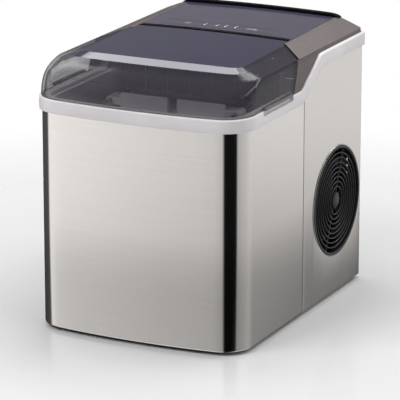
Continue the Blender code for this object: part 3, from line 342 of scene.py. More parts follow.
class Build:
    """Shells of one piece, gathered in one mesh."""

    def __init__(self):
        self.mesh = bmesh.new()

    def skin(self, rows, closed_rows=True, closed_ends=False, caps=False):
        """A surface through rows of equal count."""
        made = [[self.mesh.verts.new(p) for p in row] for row in rows]
        count = len(made[0])
        pairs = list(zip(made, made[1:])) + ([(made[-1], made[0])] if closed_ends else [])
        for low, high in pairs:
            for k in range(count if closed_rows else count - 1):
                after = (k + 1) % count
                self.mesh.faces.new((low[k], low[after], high[after], high[k]))
        if caps:
            self.mesh.faces.new(made[0][::-1])
            self.mesh.faces.new(made[-1])
        return self

    def prism(self, outline, low, high, axis="Z", edge=0.0, segments=2):
        """An outline pushed along an axis, its end edges rounded by edge."""
        places = {"Z": lambda a, b, h: (a, b, h), "X": lambda a, b, h: (h, a, b),
                  "Y": lambda a, b, h: (a, h, b)}
        place = places[axis]
        if not edge:
            return self.skin([[place(a, b, h) for a, b in outline] for h in (low, high)], caps=True)
        rows = []
        for end, sign in ((low, 1), (high, -1)):
            steps = [segments - k for k in range(segments + 1)] if sign > 0 else list(range(segments + 1))
            for step in steps:
                turn = math.pi / 2 * step / segments
                inset = edge * (1 - math.cos(turn))
                height = end + sign * edge * (1 - math.sin(turn))
                rows.append([place(a, b, height) for a, b in shrink(outline, inset)])
        return self.skin(rows, caps=True)

    def block(self, low, high, edge=0.4 * MM, segments=2):
        """A box with every edge rounded."""
        corner = max(edge, 0.05 * MM)
        outline = round_box(low[0], low[1], high[0], high[1], corner, 3)
        return self.prism(outline, low[2], high[2], "Z", min(edge, (high[2] - low[2]) * 0.45), segments)

    def turned(self, profile, place, axis=(0, 0, 1), steps=48):
        """A profile of radius and height pairs turned about an axis; ends on the axis are closed."""
        turn = Vector(axis).to_track_quat("Z", "Y").to_matrix()
        place = Vector(place)
        rows = []
        for k in range(steps):
            angle = 2 * math.pi * k / steps
            rows.append([
                place + turn @ Vector((max(r, 1e-6) * math.cos(angle), max(r, 1e-6) * math.sin(angle), z))
                for r, z in profile
            ])
        return self.skin(rows, closed_rows=False, closed_ends=True)

    def hoop(self, profile, place, axis=(0, 0, 1), steps=64):
        """A closed profile turned about an axis."""
        return self.turned([*profile, profile[0]], place, axis, steps)

    def tube(self, points, radius, sides=16, caps=True):
        """A round tube along a path. The radius is a number or one for each point."""
        points = [Vector(p) for p in points]
        radii = radius if isinstance(radius, list) else [radius] * len(points)
        rows = []
        side = None
        for k, here in enumerate(points):
            ahead = (points[min(k + 1, len(points) - 1)] - points[max(k - 1, 0)]).normalized()
            if side is None:
                side = ahead.orthogonal().normalized()
            side = (side - ahead * side.dot(ahead)).normalized()
            up = ahead.cross(side)
            ring = []
            for m in range(sides):
                angle = 2 * math.pi * m / sides
                ring.append(here + (side * math.cos(angle) + up * math.sin(angle)) * radii[k])
            rows.append(ring)
        return self.skin(rows, caps=caps)

    def cutter(self):
        """A shape that is only there to be cut away or joined on."""
        return self.piece("cutter", None, "deep_black")

    def piece(self, name, body, finish, replaces=(), slot=None, angle=38, merge=True):
        """The finished object, riding on its body."""
        if merge:
            bmesh.ops.remove_doubles(self.mesh, verts=self.mesh.verts, dist=0.002 * MM)
        bmesh.ops.recalc_face_normals(self.mesh, faces=self.mesh.faces)
        data = bpy.data.meshes.new(name)
        self.mesh.to_mesh(data)
        self.mesh.free()
        data.shade_smooth()
        data.set_sharp_from_angle(angle=math.radians(angle))
        data.materials.append(FINISHES[finish])
        obj = bpy.data.objects.new(name, data)
        bpy.context.scene.collection.objects.link(obj)
        if body:
            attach(obj, body)
        if replaces:
            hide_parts(*replaces)
        return obj


def shrink(outline, inset):
    """An outline moved inwards. Its points run anticlockwise."""
    if not inset:
        return list(outline)
    made = []
    count = len(outline)
    for k in range(count):
        before, here, after = Vector(outline[k - 1]), Vector(outline[k]), Vector(outline[(k + 1) % count])
        first, second = (here - before).normalized(), (after - here).normalized()
        normal = (Vector((-first.y, first.x)) + Vector((-second.y, second.x))).normalized()
        made.append(tuple(here + normal * inset))
    return made


def arc(centre, radius, start, end, steps):
    """Points of an arc, angles in degrees."""
    made = []
    for k in range(steps + 1):
        angle = math.radians(start + (end - start) * k / steps)
        made.append((centre[0] + radius * math.cos(angle), centre[1] + radius * math.sin(angle)))
    return made


def circle(radius, z, steps=96):
    """Points of a level circle about the Z axis."""
    turns = [2 * math.pi * k / steps for k in range(steps)]
    return [(radius * math.cos(turn), radius * math.sin(turn), z) for turn in turns]


def round_box(x0, y0, x1, y1, radius, steps=5):
    """A rectangle with round corners, anticlockwise."""
    radius = min(radius, (x1 - x0) / 2 - 1e-6, (y1 - y0) / 2 - 1e-6)
    corners = (((x1 - radius, y0 + radius), -90), ((x1 - radius, y1 - radius), 0),
               ((x0 + radius, y1 - radius), 90), ((x0 + radius, y0 + radius), 180))
    return [p for centre, start in corners for p in arc(centre, radius, start, start + 90, steps)]


def apply_modifiers(obj):
    """Turns an object's modifiers into its mesh."""
    graph = bpy.context.evaluated_depsgraph_get()
    graph.update()
    mesh = bpy.data.meshes.new_from_object(obj.evaluated_get(graph), depsgraph=graph)
    obj.modifiers.clear()
    obj.data = mesh
    return obj


def carve(obj, cutters, operation="DIFFERENCE"):
    """Cuts shapes out of an object, or joins them to it, and removes them."""
    for cutter in cutters:
        step = obj.modifiers.new("carve", "BOOLEAN")
        step.operation = operation
        step.solver = "EXACT"
        step.object = cutter
    apply_modifiers(obj)
    for cutter in cutters:
        bpy.data.objects.remove(cutter, do_unlink=True)
    return obj


def smooth(obj, angle):
    """Smooth shading up to an angle in degrees."""
    obj.data.shade_smooth()
    obj.data.set_sharp_from_angle(angle=math.radians(angle))


def plan(half_w, y_front, y_rear, r_front, r_rear, side_ys=(), steps=14):
    """Closed plan outline, anticlockwise from the front's middle: bowed front and round corners."""
    bow = bpy.context.scene.ice_maker_body.bow
    reach_x = half_w - r_front
    bow_y = y_front + bow
    reach_y = bow_y - math.sqrt((bow - r_front) ** 2 - reach_x**2)
    lean = math.atan2(reach_y - bow_y, reach_x)
    half = []
    for k in range(8):
        turn = -math.pi / 2 + (lean + math.pi / 2) * k / 8
        half.append((bow * math.cos(turn), bow_y + bow * math.sin(turn)))
    for k in range(steps + 1):
        turn = lean * (1 - k / steps)
        half.append((reach_x + r_front * math.cos(turn), reach_y + r_front * math.sin(turn)))
    half += [(half_w, y) for y in side_ys]
    for k in range(7):
        turn = math.pi / 2 * k / 6
        half.append((half_w - r_rear + r_rear * math.cos(turn), y_rear - r_rear + r_rear * math.sin(turn)))
    mirrored = [(-x, y) for x, y in half[1:]]
    return half + mirrored[::-1]


def body_plan(offset, r_rear=None, side_ys=()):
    """The body's plan outline, moved outwards by offset."""
    body = bpy.context.scene.ice_maker_body
    rear = body.rear_corner + offset if r_rear is None else r_rear
    return plan(BODY_HALF_W + offset, BODY_FRONT - offset, BODY_REAR + offset,
                body.corner + offset, rear, side_ys)


def climb(y):
    """How far the band has climbed at this y."""
    body = bpy.context.scene.ice_maker_body
    slope = RAMP_RISE / (body.ramp_rear - body.ramp_front)
    blend = body.ramp_blend
    total = 0.0
    for bend, sign in ((body.ramp_front, 1), (body.ramp_rear, -1)):
        t = y - bend
        if t > blend:
            total += sign * slope * t
        elif t > -blend:
            total += sign * slope * (t + blend) ** 2 / (4 * blend)
    return total


def band_low(y):
    return BAND_UNDER + climb(y)


def band_top(y):
    """Height of the band's top, so that it keeps its width square to the ramp."""
    step = 0.5 * MM
    slope = (climb(y + step) - climb(y - step)) / (2 * step)
    return band_low(y) + BAND_TALL * math.sqrt(1 + slope**2)


def ramp_ys(steps=8):
    """Y places that follow the bends at the ramp's foot and head."""
    body = bpy.context.scene.ice_maker_body
    return [bend + body.ramp_blend * (2 * k / steps - 1) for bend in (body.ramp_front, body.ramp_rear)
            for k in range(steps + 1)]


# ---------------------------------------------------------------- sheets and band


def fold(corner, start, radius, sign):
    """Points that turn a side sheet's edge inwards round a small radius and on for a few millimetres."""
    x, y = corner
    bend = [(x - radius + radius * math.cos(math.radians(a)),
             y + sign * radius * (math.sin(math.radians(a)) - 1))
            for a in start]
    return bend + [(x - radius - 4 * MM, y)]


def sheet_body(path, low, top):
    """A thin sheet along a plan path, with a rounded hem turned in at its foot."""
    body = bpy.context.scene.ice_maker_body
    thick, bend, hem = body.sheet, 1.2 * MM, 5 * MM
    section = [(0, bend), (0.18 * bend, 0.35 * bend), (0.5 * bend, 0.08 * bend), (bend, 0), (hem, 0),
               (hem, thick), (bend, thick), (thick, bend)]
    made = Build()
    rows = []
    for k, here in enumerate(path):
        before, after = Vector(path[max(k - 1, 0)]), Vector(path[min(k + 1, len(path) - 1)])
        along = (after - before).normalized()
        inward = Vector((-along.y, along.x))
        row = [(*(Vector(here) + inward * d), low + z) for d, z in section]
        row.insert(0, (*here, low + 0.5 * (top(here[1]) - low)))
        row.insert(0, (*here, top(here[1])))
        row.append((*(Vector(here) + inward * thick), top(here[1])))
        rows.append(row)
    return made.skin(rows, caps=True)


def steel_top(y):
    """Height of a sheet's top edge, tucked behind the band."""
    return band_low(y) + bpy.context.scene.ice_maker_body.tuck


def front_sheet():
    """The sheet that wraps the front, its rear edges turned in at the seams."""
    edge_y = SEAM_Y - 0.2 * MM
    outline = body_plan(0.0)
    right = [p for p in outline[: len(outline) // 2 + 1] if p[0] >= 0 and p[1] < edge_y - 6 * MM]
    right += [(BODY_HALF_W, y) for y in ramp_ys() if right[-1][1] < y < edge_y - 2 * MM]
    right += fold((BODY_HALF_W, edge_y), range(0, 91, 18), 0.9 * MM, 1)
    path = [(-x, y) for x, y in right[:0:-1]] + right
    sheet_body(path, BODY_LOW - SKIRT, steel_top).piece(
        "front_sheet", "cabinet", "brushed_steel", ["front_wrap"])


def side_path(sign):
    """Plan path of a side sheet, from its turned-in front edge round the rear corner."""
    body = bpy.context.scene.ice_maker_body
    edge_y = SEAM_Y + 0.6 * MM
    path = fold((BODY_HALF_W, edge_y), range(90, -1, -18), 0.9 * MM, -1)
    path = path[-1:] + path[:-1]
    path += [(BODY_HALF_W, y) for y in (10 * MM, 20 * MM, 30 * MM, *ramp_ys()[9:], 80 * MM, 120 * MM)]
    centre = (BODY_HALF_W - body.rear_corner, BODY_REAR - body.rear_corner)
    path += arc(centre, body.rear_corner, 0, 90, 8) + [(BODY_HALF_W - 17 * MM, BODY_REAR)]
    return path if sign > 0 else [(-x, y) for x, y in path[::-1]]


def side_sheets():
    """Both side sheets: a round opening with a bright collar on the right, slots on the left."""
    # Both side sheets take the darker steel copy, which paints shade on them.
    right = sheet_body(side_path(1), BODY_LOW - SKIRT, steel_top)
    right = right.piece("right_sheet", "cabinet", "shaded_side_steel", ["side_panel_right"], "brushed_steel")
    reach = GRILLE_R - 2 * MM
    hole = Build().turned([(0, 10 * MM), (reach, 10 * MM), (reach, -10 * MM), (0, -10 * MM)],
                          (BODY_HALF_W, GRILLE_Y, GRILLE_Z), (1, 0, 0), 96).cutter()
    carve(right, [hole])
    left = sheet_body(side_path(-1), BODY_LOW - SKIRT, steel_top)
    left = left.piece("left_sheet", "cabinet", "shaded_side_steel", ["side_panel_left"], "brushed_steel")
    slots = []
    for k in range(9):
        z = (60 + 11 * k) * MM
        outline = round_box(60 * MM, z, 125 * MM, z + 4 * MM, 1.9 * MM, 5)
        slots.append(Build().prism(outline, -BODY_HALF_W - 5 * MM, -BODY_HALF_W + 8 * MM, "X").cutter())
    carve(left, slots)
    for obj in (right, left):
        smooth(obj, 30)
    collar = arc((0, 0), 0.7 * MM, -90, 180, 8)
    profile = [(GRILLE_R + 0.1 * MM + a, 0.1 * MM + h) for a, h in collar]
    Build().hoop(profile, (BODY_HALF_W, GRILLE_Y, GRILLE_Z), (1, 0, 0), 96).piece(
        "grille_collar", "cabinet", "nickel")


def band():
    """Pale band: a softly rounded skirt outside the steel and a flange over its edge."""
    body = bpy.context.scene.ice_maker_body
    ys = [-120 * MM, body.grip_front, -60 * MM, body.grip_rear, *ramp_ys(), 90 * MM, 130 * MM]
    outer, skirt = body_plan(BAND_OUT, side_ys=ys), body_plan(0.25 * MM, side_ys=ys)
    inner = body_plan(-body.flange, r_rear=2 * MM, side_ys=ys)
    made = Build()
    rows = []
    for (ox, oy), (sx, sy), (ix, iy) in zip(outer, skirt, inner):
        low, top = band_low(oy), band_top(oy)
        out = (Vector((ox, oy)) - Vector((sx, sy))).normalized()
        row = []
        for d, z in arc((-0.8 * MM, 0.8 * MM), 0.8 * MM, -90, 0, 3):
            row.append((ox + out.x * d, oy + out.y * d, low + z))
        row.append((ox, oy, (low + top) / 2))
        for d, z in arc((-1.5 * MM, -1.5 * MM), 1.5 * MM, 0, 90, 5):
            row.append((ox + out.x * d, oy + out.y * d, top + z))
        row += [(ix, iy, top), (ix, iy, top - 3.5 * MM), (sx, sy, top - 3.5 * MM), (sx, sy, low)]
        rows.append(row)
    obj = made.skin(rows, closed_ends=True).piece("band", "cabinet", "band_plastic", ["trim_band"])
    top = LID_FOOT - 0.3 * MM
    cups, hollows = [], []
    for sign in (1, -1):
        x0, x1 = sorted((sign * 115.8 * MM, sign * 119 * MM))
        cup = Build().block((x0, body.grip_front - 2 * MM, top - 7.2 * MM),
                            (x1, body.grip_rear + 2 * MM, top - 1 * MM), 0.2 * MM)
        cups.append(cup.cutter())
        x0, x1 = sorted((sign * 116.8 * MM, sign * 130 * MM))
        outline = round_box(body.grip_front, top - 5 * MM, body.grip_rear, top + 9 * MM, 2 * MM, 5)
        hollows.append(Build().prism(outline, x0, x1, "X").cutter())
    carve(obj, cups, "UNION")
    carve(obj, hollows)
    smooth(obj, 35)


# ---------------------------------------------------------------- dome

# Height, insets of the side, front and rear from the dome's foot, and corner radius, in millimetres.
DOME_LEVELS = (
    (240, 0, 0, 0, 33), (251, 0, 0.2, 0, 33), (256, 0.1, 0.9, 0.1, 33), (260, 0.25, 2, 0.2, 33),
    (263.5, 0.4, 3.5, 0.35, 33), (266.5, 0.55, 5.4, 0.5, 33), (269, 0.7, 7.7, 0.6, 32.8),
    (271.2, 0.9, 10.4, 0.75, 32.5), (273, 1.1, 13.3, 0.9, 32.2), (274.6, 1.35, 16.6, 1.1, 32),
    (276, 1.65, 20, 1.4, 31.8), (278.2, 2.2, 26.5, 2, 31.4), (280, 3, 32, 3, 31),
    (283.6, 16.4, 43, 3.6, 23), (286.5, 28, 57, 4.6, 14),
)
CREASES = 3
CREASE_FOOT = 280
FACET_FOOT = 283.2 * MM
FACET_REAR = 57 * MM
TOP_FRONT, TOP_LONG = -105 * MM, 257 * MM
CROWN_SHARES = (0.95, 0.85, 0.7, 0.55, 0.4, 0.25, 0.1)
DOME_OUT = 1 * MM


def lift(x, y):
    """Height of the top over its level front crease: a slight tilt and a crown between the side creases."""
    top = bpy.context.scene.ice_maker_top
    tilt = top.tilt * max(0.0, y - TOP_FRONT) / TOP_LONG
    return tilt + top.crown * max(0.0, 1 - (x / top.crease_half) ** 2)


def crown_z(x, y):
    return bpy.context.scene.ice_maker_top.crease + lift(x, y)


def dome_rows(inset):
    """Level outlines of the dome from its foot to the middle of its top, moved inwards by inset."""
    top = bpy.context.scene.ice_maker_top
    rows = []
    for z, side, front, rear, corner in DOME_LEVELS:
        outline = plan(BODY_HALF_W + DOME_OUT - side * MM - inset, BODY_FRONT - DOME_OUT + front * MM + inset,
                       BODY_REAR + DOME_OUT - rear * MM - inset, corner * MM,
                       (7 if z < CREASE_FOOT else 3) * MM)
        height = z * MM - (inset if z > 270 else 0)
        share = max(0.0, (z * MM - CREASE_FOOT * MM) / (top.crease - CREASE_FOOT * MM))
        rows.append([(x, y, height + share * lift(x, y)) for x, y in outline])
    half = top.crease_half - inset
    for share in CROWN_SHARES:
        corner = min(14 * MM, half * share * 0.8)
        outline = plan(half * share, BODY_FRONT + (56 + 45 * (1 - share)) * MM,
                       BODY_REAR - 3.6 * MM - inset - 6 * MM * (1 - share), corner, min(3 * MM, corner))
        rows.append([(x, y, crown_z(x, y) - inset) for x, y in outline])
    return rows


def hollow(inset):
    """The dome's inside, as a shape to cut away."""
    inside = dome_rows(inset)
    below = [(x, y, 232 * MM) for x, y, _ in inside[0]]
    return Build().skin([below, *inside], caps=True).cutter()


def dome(name, finish, replaces):
    """A whole hollow dome, from which lid and cover are cut."""
    top = bpy.context.scene.ice_maker_top
    body = "lid" if name == "lid_shell" else "cabinet"
    outer = Build().skin(dome_rows(0.0), caps=True).piece(name, body, finish, replaces)
    return carve(outer, [hollow(top.wall)])


def near_line(points, line, reach=0.03 * MM):
    """Which points lie on a closed line."""
    start = np.array(line)
    along = np.roll(start, -1, axis=0) - start
    offset = points[:, None, :] - start
    share = np.clip((offset * along).sum(2) / np.maximum((along**2).sum(1), 1e-12), 0, 1)
    return (np.linalg.norm(offset - share[..., None] * along, axis=2) < reach).any(axis=1)


def crisp(obj, angle):
    """Smooth shading, with sharp edges along the dome's creases."""
    smooth(obj, angle)
    points = np.empty(len(obj.data.vertices) * 3)
    obj.data.vertices.foreach_get("co", points)
    points = points.reshape(-1, 3)
    wall = bpy.context.scene.ice_maker_top.wall
    lines = [rows[len(DOME_LEVELS) - 1 - k]
             for rows in (dome_rows(0.0), dome_rows(wall)) for k in range(CREASES)]
    on_lines = [near_line(points, line) for line in lines]
    for edge in obj.data.edges:
        a, b = edge.vertices
        if any(on[a] and on[b] for on in on_lines):
            edge.use_edge_sharp = True


def paint_gap_shade(obj, chosen):
    """Painted shade: deep black on the faces along a shadow gap."""
    obj.data.materials.append(FINISHES["deep_black"])
    last = len(obj.data.materials) - 1
    for face in obj.data.polygons:
        if chosen(face.center, face.normal):
            face.material_index = last


def seam_prisms(rear, shift, thin):
    """Cutters for the seam between lid and cover: the top and chamfers, then the sides."""
    top = bpy.context.scene.ice_maker_top
    far = 200 * MM if rear else -200 * MM
    arm_x = PANEL_HALF_W + (0.4 * MM if rear else -0.4 * MM)
    middle = top.lid_rear if rear else PANEL_LOW.y
    line = [(-130 * MM, top.seam_fold + shift), (-118.5 * MM, top.seam_fold + shift),
            (-arm_x - 0.6 * MM, top.arm + shift), (-arm_x, top.arm + shift), (-arm_x, middle)]
    line += [(-x, y) for x, y in line[::-1]]
    outline = line + [(200 * MM, far), (-200 * MM, far)]
    if not rear:
        outline = outline[::-1]
    foot_y = top.seam_fold - 14 * MM * 45 / 33 + thin
    side = [(top.seam_fold + thin, 279.2 * MM), (foot_y, 235 * MM), (far, 235 * MM), (far, 279.2 * MM)]
    made = Build().prism(outline, 279 * MM, 310 * MM).cutter()
    return [made, Build().prism(side, -200 * MM, 200 * MM, "X").cutter()]


def lid_pieces():
    """Clear lid with its darker window, lift tabs and hinge bosses."""
    top = bpy.context.scene.ice_maker_top
    body = bpy.context.scene.ice_maker_body
    shell = dome("lid_shell", "smoked_clear", ["lid"])
    foot = Build().prism(round_box(-0.2, -0.2, 0.2, 0.2, 0.01), 0.2, LID_FOOT).cutter()
    carve(shell, [*seam_prisms(True, 0.0, 0.0), foot])
    shell.data.materials.append(FINISHES["smoked_window"])
    shell.data.materials.append(FINISHES["smoked_facet"])
    for face in shell.data.polygons:
        x, y, z = face.center
        level = abs(face.normal.z) > 0.9
        rear = y > BODY_FRONT + FACET_REAR
        window = rear and abs(x) < top.crease_half - 1 * MM and z > top.crease - top.wall
        sloped = face.normal.z > 0.9 and face.normal.y < -0.1
        facet = y < BODY_FRONT + FACET_REAR and z > FACET_FOOT and sloped
        face.material_index = 2 if facet else 1 if window and level else 0
    crisp(shell, 9)
    # Painted shade: the lid's faces at the seam are made black.
    paint_gap_shade(shell, lambda at, normal: normal.y > 0.5 and at.y > -40 * MM)
    for name, sign in (("left", -1), ("right", 1)):
        x0, x1 = sorted((sign * 117.6 * MM, sign * 122.4 * MM))
        outline = round_box(x0, body.grip_front + 2 * MM, x1, body.grip_rear - 2 * MM, 2 * MM, 6)
        Build().prism(outline, LID_FOOT, LID_FOOT + 2.8 * MM, edge=0.9 * MM, segments=4).piece(
            f"lift_tab_{name}", "lid", "tab_clear", slot="smoked_clear")
        x0, x1 = sorted((sign * 77 * MM, sign * 86 * MM))
        outline = arc((top.hinge_y, top.hinge_z), 3.4 * MM, 180, 360, 10)
        outline += [(top.hinge_y + 3.4 * MM, top.hinge_z + 4.6 * MM),
                    (top.hinge_y - 3.4 * MM, top.hinge_z + 4.6 * MM)]
        Build().prism(outline, x0, x1, "X", 0.5 * MM).piece(f"hinge_boss_{name}", "lid", "smoked_clear")
    rib = round_box(-84 * MM, BODY_FRONT + 60 * MM, 84 * MM, top.lid_rear - 4 * MM, 8 * MM, 6)
    inner = shrink(rib, 1.4 * MM)
    rows = [[(x, y, crown_z(x, y) - top.wall - drop) for x, y in line]
            for line, drop in ((rib, 0.2 * MM), (rib, 1.8 * MM), (inner, 1.8 * MM), (inner, 0.2 * MM))]
    Build().skin(rows, closed_ends=True).piece("window_rib", "lid", "smoked_window", slot="smoked_clear")


def cover_pieces():
    """Dark rear cover round the panel."""
    top = bpy.context.scene.ice_maker_top
    shell = dome("rear_cover", "cover_plastic", ["top_cover"])
    opening = Build().prism(round_box(-PANEL_HALF_W - 0.5 * MM, -50 * MM, PANEL_HALF_W + 0.5 * MM,
                                      BAR_FRONT + 1.5 * MM, 1.5 * MM), 270 * MM, 310 * MM)
    ys = [-60 * MM, *ramp_ys(), 200 * MM]
    below = [(y, band_top(y) + 0.3 * MM) for y in ys] + [(200 * MM, 200 * MM), (-60 * MM, 200 * MM)]
    under = Build().prism(below[::-1], -200 * MM, 200 * MM, "X")
    carve(shell, [*seam_prisms(False, top.seam_gap, 0.9 * MM), opening.cutter(), under.cutter()])
    crisp(shell, 14)
    # Painted shade: the cover's faces at the seam are made black.
    paint_gap_shade(shell, lambda at, normal: normal.y < -0.5 and at.y < 40 * MM)
    # Painted shade in the seam between lid and cover.
    seam_shade_strip()
    rear_bar()


def seam_shade_strip():
    """Painted shade: a black strip that fills the gap between lid and cover, a little below their surface."""
    top = bpy.context.scene.ice_maker_top
    gasket = Build().skin(dome_rows(0.5 * MM), caps=True).piece(
        "seam_shade_strip", "cabinet", "deep_black", slot="black_plastic")
    low = Build().block((-0.2, -0.2, 0.2), (0.2, 0.2, 264 * MM), 0).cutter()
    carve(gasket, [hollow(top.wall), low, *seam_prisms(False, 0.7 * MM, 0.25 * MM),
                   *seam_prisms(True, top.seam_gap - 0.1 * MM, 0.8 * MM)])


def rear_bar():
    """Black bar along the top's rear edge, its ends running down into the cover."""
    lip = []
    half, straight, steps = 93 * MM, 78 * MM, 32
    for y, z in round_box(BAR_FRONT, -4 * MM, BAR_REAR, 3.0 * MM, 1.4 * MM, 5):
        row = []
        for k in range(2 * steps + 1):
            x = half * (k / steps - 1)
            tall = math.sqrt(max(0.0, 1 - max(0.0, (abs(x) - straight) / (15 * MM)) ** 2))
            row.append((x, y, crown_z(x, y) + 0.4 * MM + (z * tall if z > 0 else z * 0.5 * (1 + tall))))
        lip.append(row)
    Build().skin([list(row) for row in zip(*lip)], caps=True).piece(
        "rear_bar", "cabinet", "deep_black", ["rear_lip"], "black_plastic")


# ---------------------------------------------------------------- panel


def on_crown(outline, low, high, name, body, finish, slot=None, replaces=(), step=3 * MM):
    """A thin slab that follows the crown, its outline cut into short runs across the object."""
    fine = []
    for k, (x, y) in enumerate(outline):
        ax, ay = outline[(k + 1) % len(outline)]
        parts = max(1, int(abs(ax - x) / step))
        fine += [(x + (ax - x) * m / parts, y + (ay - y) * m / parts) for m in range(parts)]
    rows = [[(x, y, crown_z(x, y) + h) for x, y in fine] for h in (low, high)]
    made = Build().skin(rows)
    for row, flip in ((rows[0], False), (rows[1], True)):
        points = [made.mesh.verts.new(p) for p in row]
        face = made.mesh.faces.new(points if flip else points[::-1])
        bmesh.ops.triangulate(made.mesh, faces=[face])
    return made.piece(name, body, finish, replaces, slot)


KEYS = (("power_button", "power_key", -42 * MM, 4.5 * MM), ("size_button", "size_key", 33 * MM, 7.5 * MM))
KEY_HALF_Y = 3.5 * MM
ROW_Y = 55 * MM
LAMP_XS = (-22 * MM, -8 * MM, 2 * MM, 14 * MM)
LAMP_R = 1.5 * MM


def ring_outline(x, y, outer, inner, start, end, steps=20):
    """An open ring: out along one arc and back along the other."""
    return arc((x, y), outer, start, end, steps) + arc((x, y), inner, end, start, steps)


def panel_slab(y0, y1, low, high):
    """A slab over the full panel's width between two Y places, its long edges slightly rounded."""
    rows = []
    for k in range(61):
        x = -PANEL_HALF_W + 2 * PANEL_HALF_W * k / 60
        edge = 0.35 * MM
        section = [(y0, low), (y1, low), (y1, high - edge), (y1 - edge * 0.3, high - edge * 0.3),
                   (y1 - edge, high), (y0 + edge, high), (y0 + edge * 0.3, high - edge * 0.3),
                   (y0, high - edge)]
        rows.append([(x, y, crown_z(x, y) + h) for y, h in section])
    return Build().skin(rows, caps=True)


def panel_pieces():
    """Glossy panel with its darker row of keys, lamps and symbols."""
    panel = panel_slab(PANEL_LOW.y, BAR_FRONT, -2.4 * MM, 0.0).piece(
        "panel", "cabinet", "panel_gloss", ["control_panel"])
    holes = []
    for _, _, x, half in KEYS:
        outline = round_box(x - half - 0.3 * MM, ROW_Y - KEY_HALF_Y - 0.3 * MM, x + half + 0.3 * MM,
                            ROW_Y + KEY_HALF_Y + 0.3 * MM, 1.2 * MM)
        holes.append(Build().prism(outline, 270 * MM, 300 * MM).cutter())
    for x in LAMP_XS:
        outline = arc((x, ROW_Y), LAMP_R + 0.25 * MM, 0, 345, 23)
        holes.append(Build().prism(outline, 270 * MM, 300 * MM).cutter())
    carve(panel, holes)
    smooth(panel, 12)
    # Painted shade: a black strip over the panel's front face, where it shows through the gap behind the lid.
    rows = []
    for y, z in ((-0.4, -2.4), (-0.02, -2.4), (-0.02, -0.06), (-0.25, -0.06), (-0.4, -0.2)):
        rows.append([(x * MM, PANEL_LOW.y + y * MM, crown_z(x * MM, PANEL_LOW.y) + z * MM)
                     for x in range(-87, 88, 3)])
    Build().skin([list(row) for row in zip(*rows)], caps=True).piece(
        "panel_edge_shade", "cabinet", "deep_black", slot="black_plastic")
    border = round_box(1 * MM - PANEL_HALF_W, PANEL_LOW.y + 0.1 * MM,
                       PANEL_HALF_W - 1 * MM, PANEL_LOW.y + 6 * MM, 0.4 * MM)
    on_crown(border, -0.2 * MM, 0.04 * MM, "panel_border", "cabinet", "deep_black", "panel_gloss")
    for tag, y0, y1 in (("front", 44 * MM, 48 * MM), ("rear", 63 * MM, 67 * MM)):
        on_crown(round_box(-72 * MM, y0, 62 * MM, y1, 0.8 * MM), -0.1 * MM, 0.03 * MM,
                 f"row_line_{tag}", "cabinet", "row_dark", "panel_gloss")
    for node, body, x, half in KEYS:
        outline = round_box(x - half, ROW_Y - KEY_HALF_Y, x + half, ROW_Y + KEY_HALF_Y, 1.0 * MM, 5)
        rows = []
        for inset, h in ((0, -2.6), (0, -0.1), (0.12, 0.1), (0.4, 0.22), (0.9, 0.26)):
            rows.append([(px, py, crown_z(px, py) + h * MM) for px, py in shrink(outline, inset * MM)])
        Build().skin(rows, caps=True).piece(f"{body}_cap", body, "cover_plastic", [node])
    marks = [("power_key", ring_outline(-42 * MM, ROW_Y - 0.2 * MM, 2.1 * MM, 1.6 * MM, 125, 415)),
             ("power_key", round_box(-42.28 * MM, ROW_Y + 0.2 * MM, -41.72 * MM, ROW_Y + 2.4 * MM, 0.2 * MM))]
    for k, half in enumerate((0.8, 1.2, 1.6)):
        x = (28.8 + 4 * k) * MM
        marks.append(("size_key", round_box(x - half * MM, ROW_Y - half * MM,
                                            x + half * MM, ROW_Y + half * MM, 0.3 * MM)))
    for k, (body, outline) in enumerate(marks):
        on_crown(outline, 0.2 * MM, 0.32 * MM, f"key_mark_{k + 1}", body, "print_grey", "panel_gloss")
    for k, x in enumerate(LAMP_XS):
        z = crown_z(x, ROW_Y)
        profile = [(0, 0.12 * MM), (0.9 * MM, 0.08 * MM), (1.35 * MM, -0.05 * MM), (LAMP_R, -0.3 * MM),
                   (LAMP_R, -2.8 * MM), (0, -2.8 * MM)]
        Build().turned(profile, (x, ROW_Y, z), steps=24).piece(f"lamp_lens_{k + 1}", "cabinet", "lens_white",
                                                            [f"lamp_{k + 1}"])
    drop = [(-22 * MM + 1.2 * MM * math.sin(a) * math.sin(a / 2), ROW_Y + 5.2 * MM + 1.5 * MM * math.cos(a))
            for a in [2 * math.pi * k / 20 for k in range(20)]]
    flake = [(-8 * MM + r * MM * math.cos(math.radians(a)),
              ROW_Y + 5 * MM + r * MM * math.sin(math.radians(a)))
             for a, r in [(15 * k, (1.7, 0.5, 0.9, 0.5)[k % 4]) for k in range(24)]]
    cube = round_box(0.7 * MM, ROW_Y + 3.8 * MM, 3.3 * MM, ROW_Y + 6.4 * MM, 0.3 * MM)
    bell = ring_outline(14 * MM, ROW_Y + 5 * MM, 1.6 * MM, 1.1 * MM, -60, 240)
    for name, outline in (("drop", drop[::-1]), ("flake", flake), ("cube", cube), ("open_ring", bell)):
        on_crown(outline, -0.1 * MM, 0.05 * MM, f"mark_{name}", "cabinet", "print_grey", "panel_gloss")


# ---------------------------------------------------------------- grille and fan


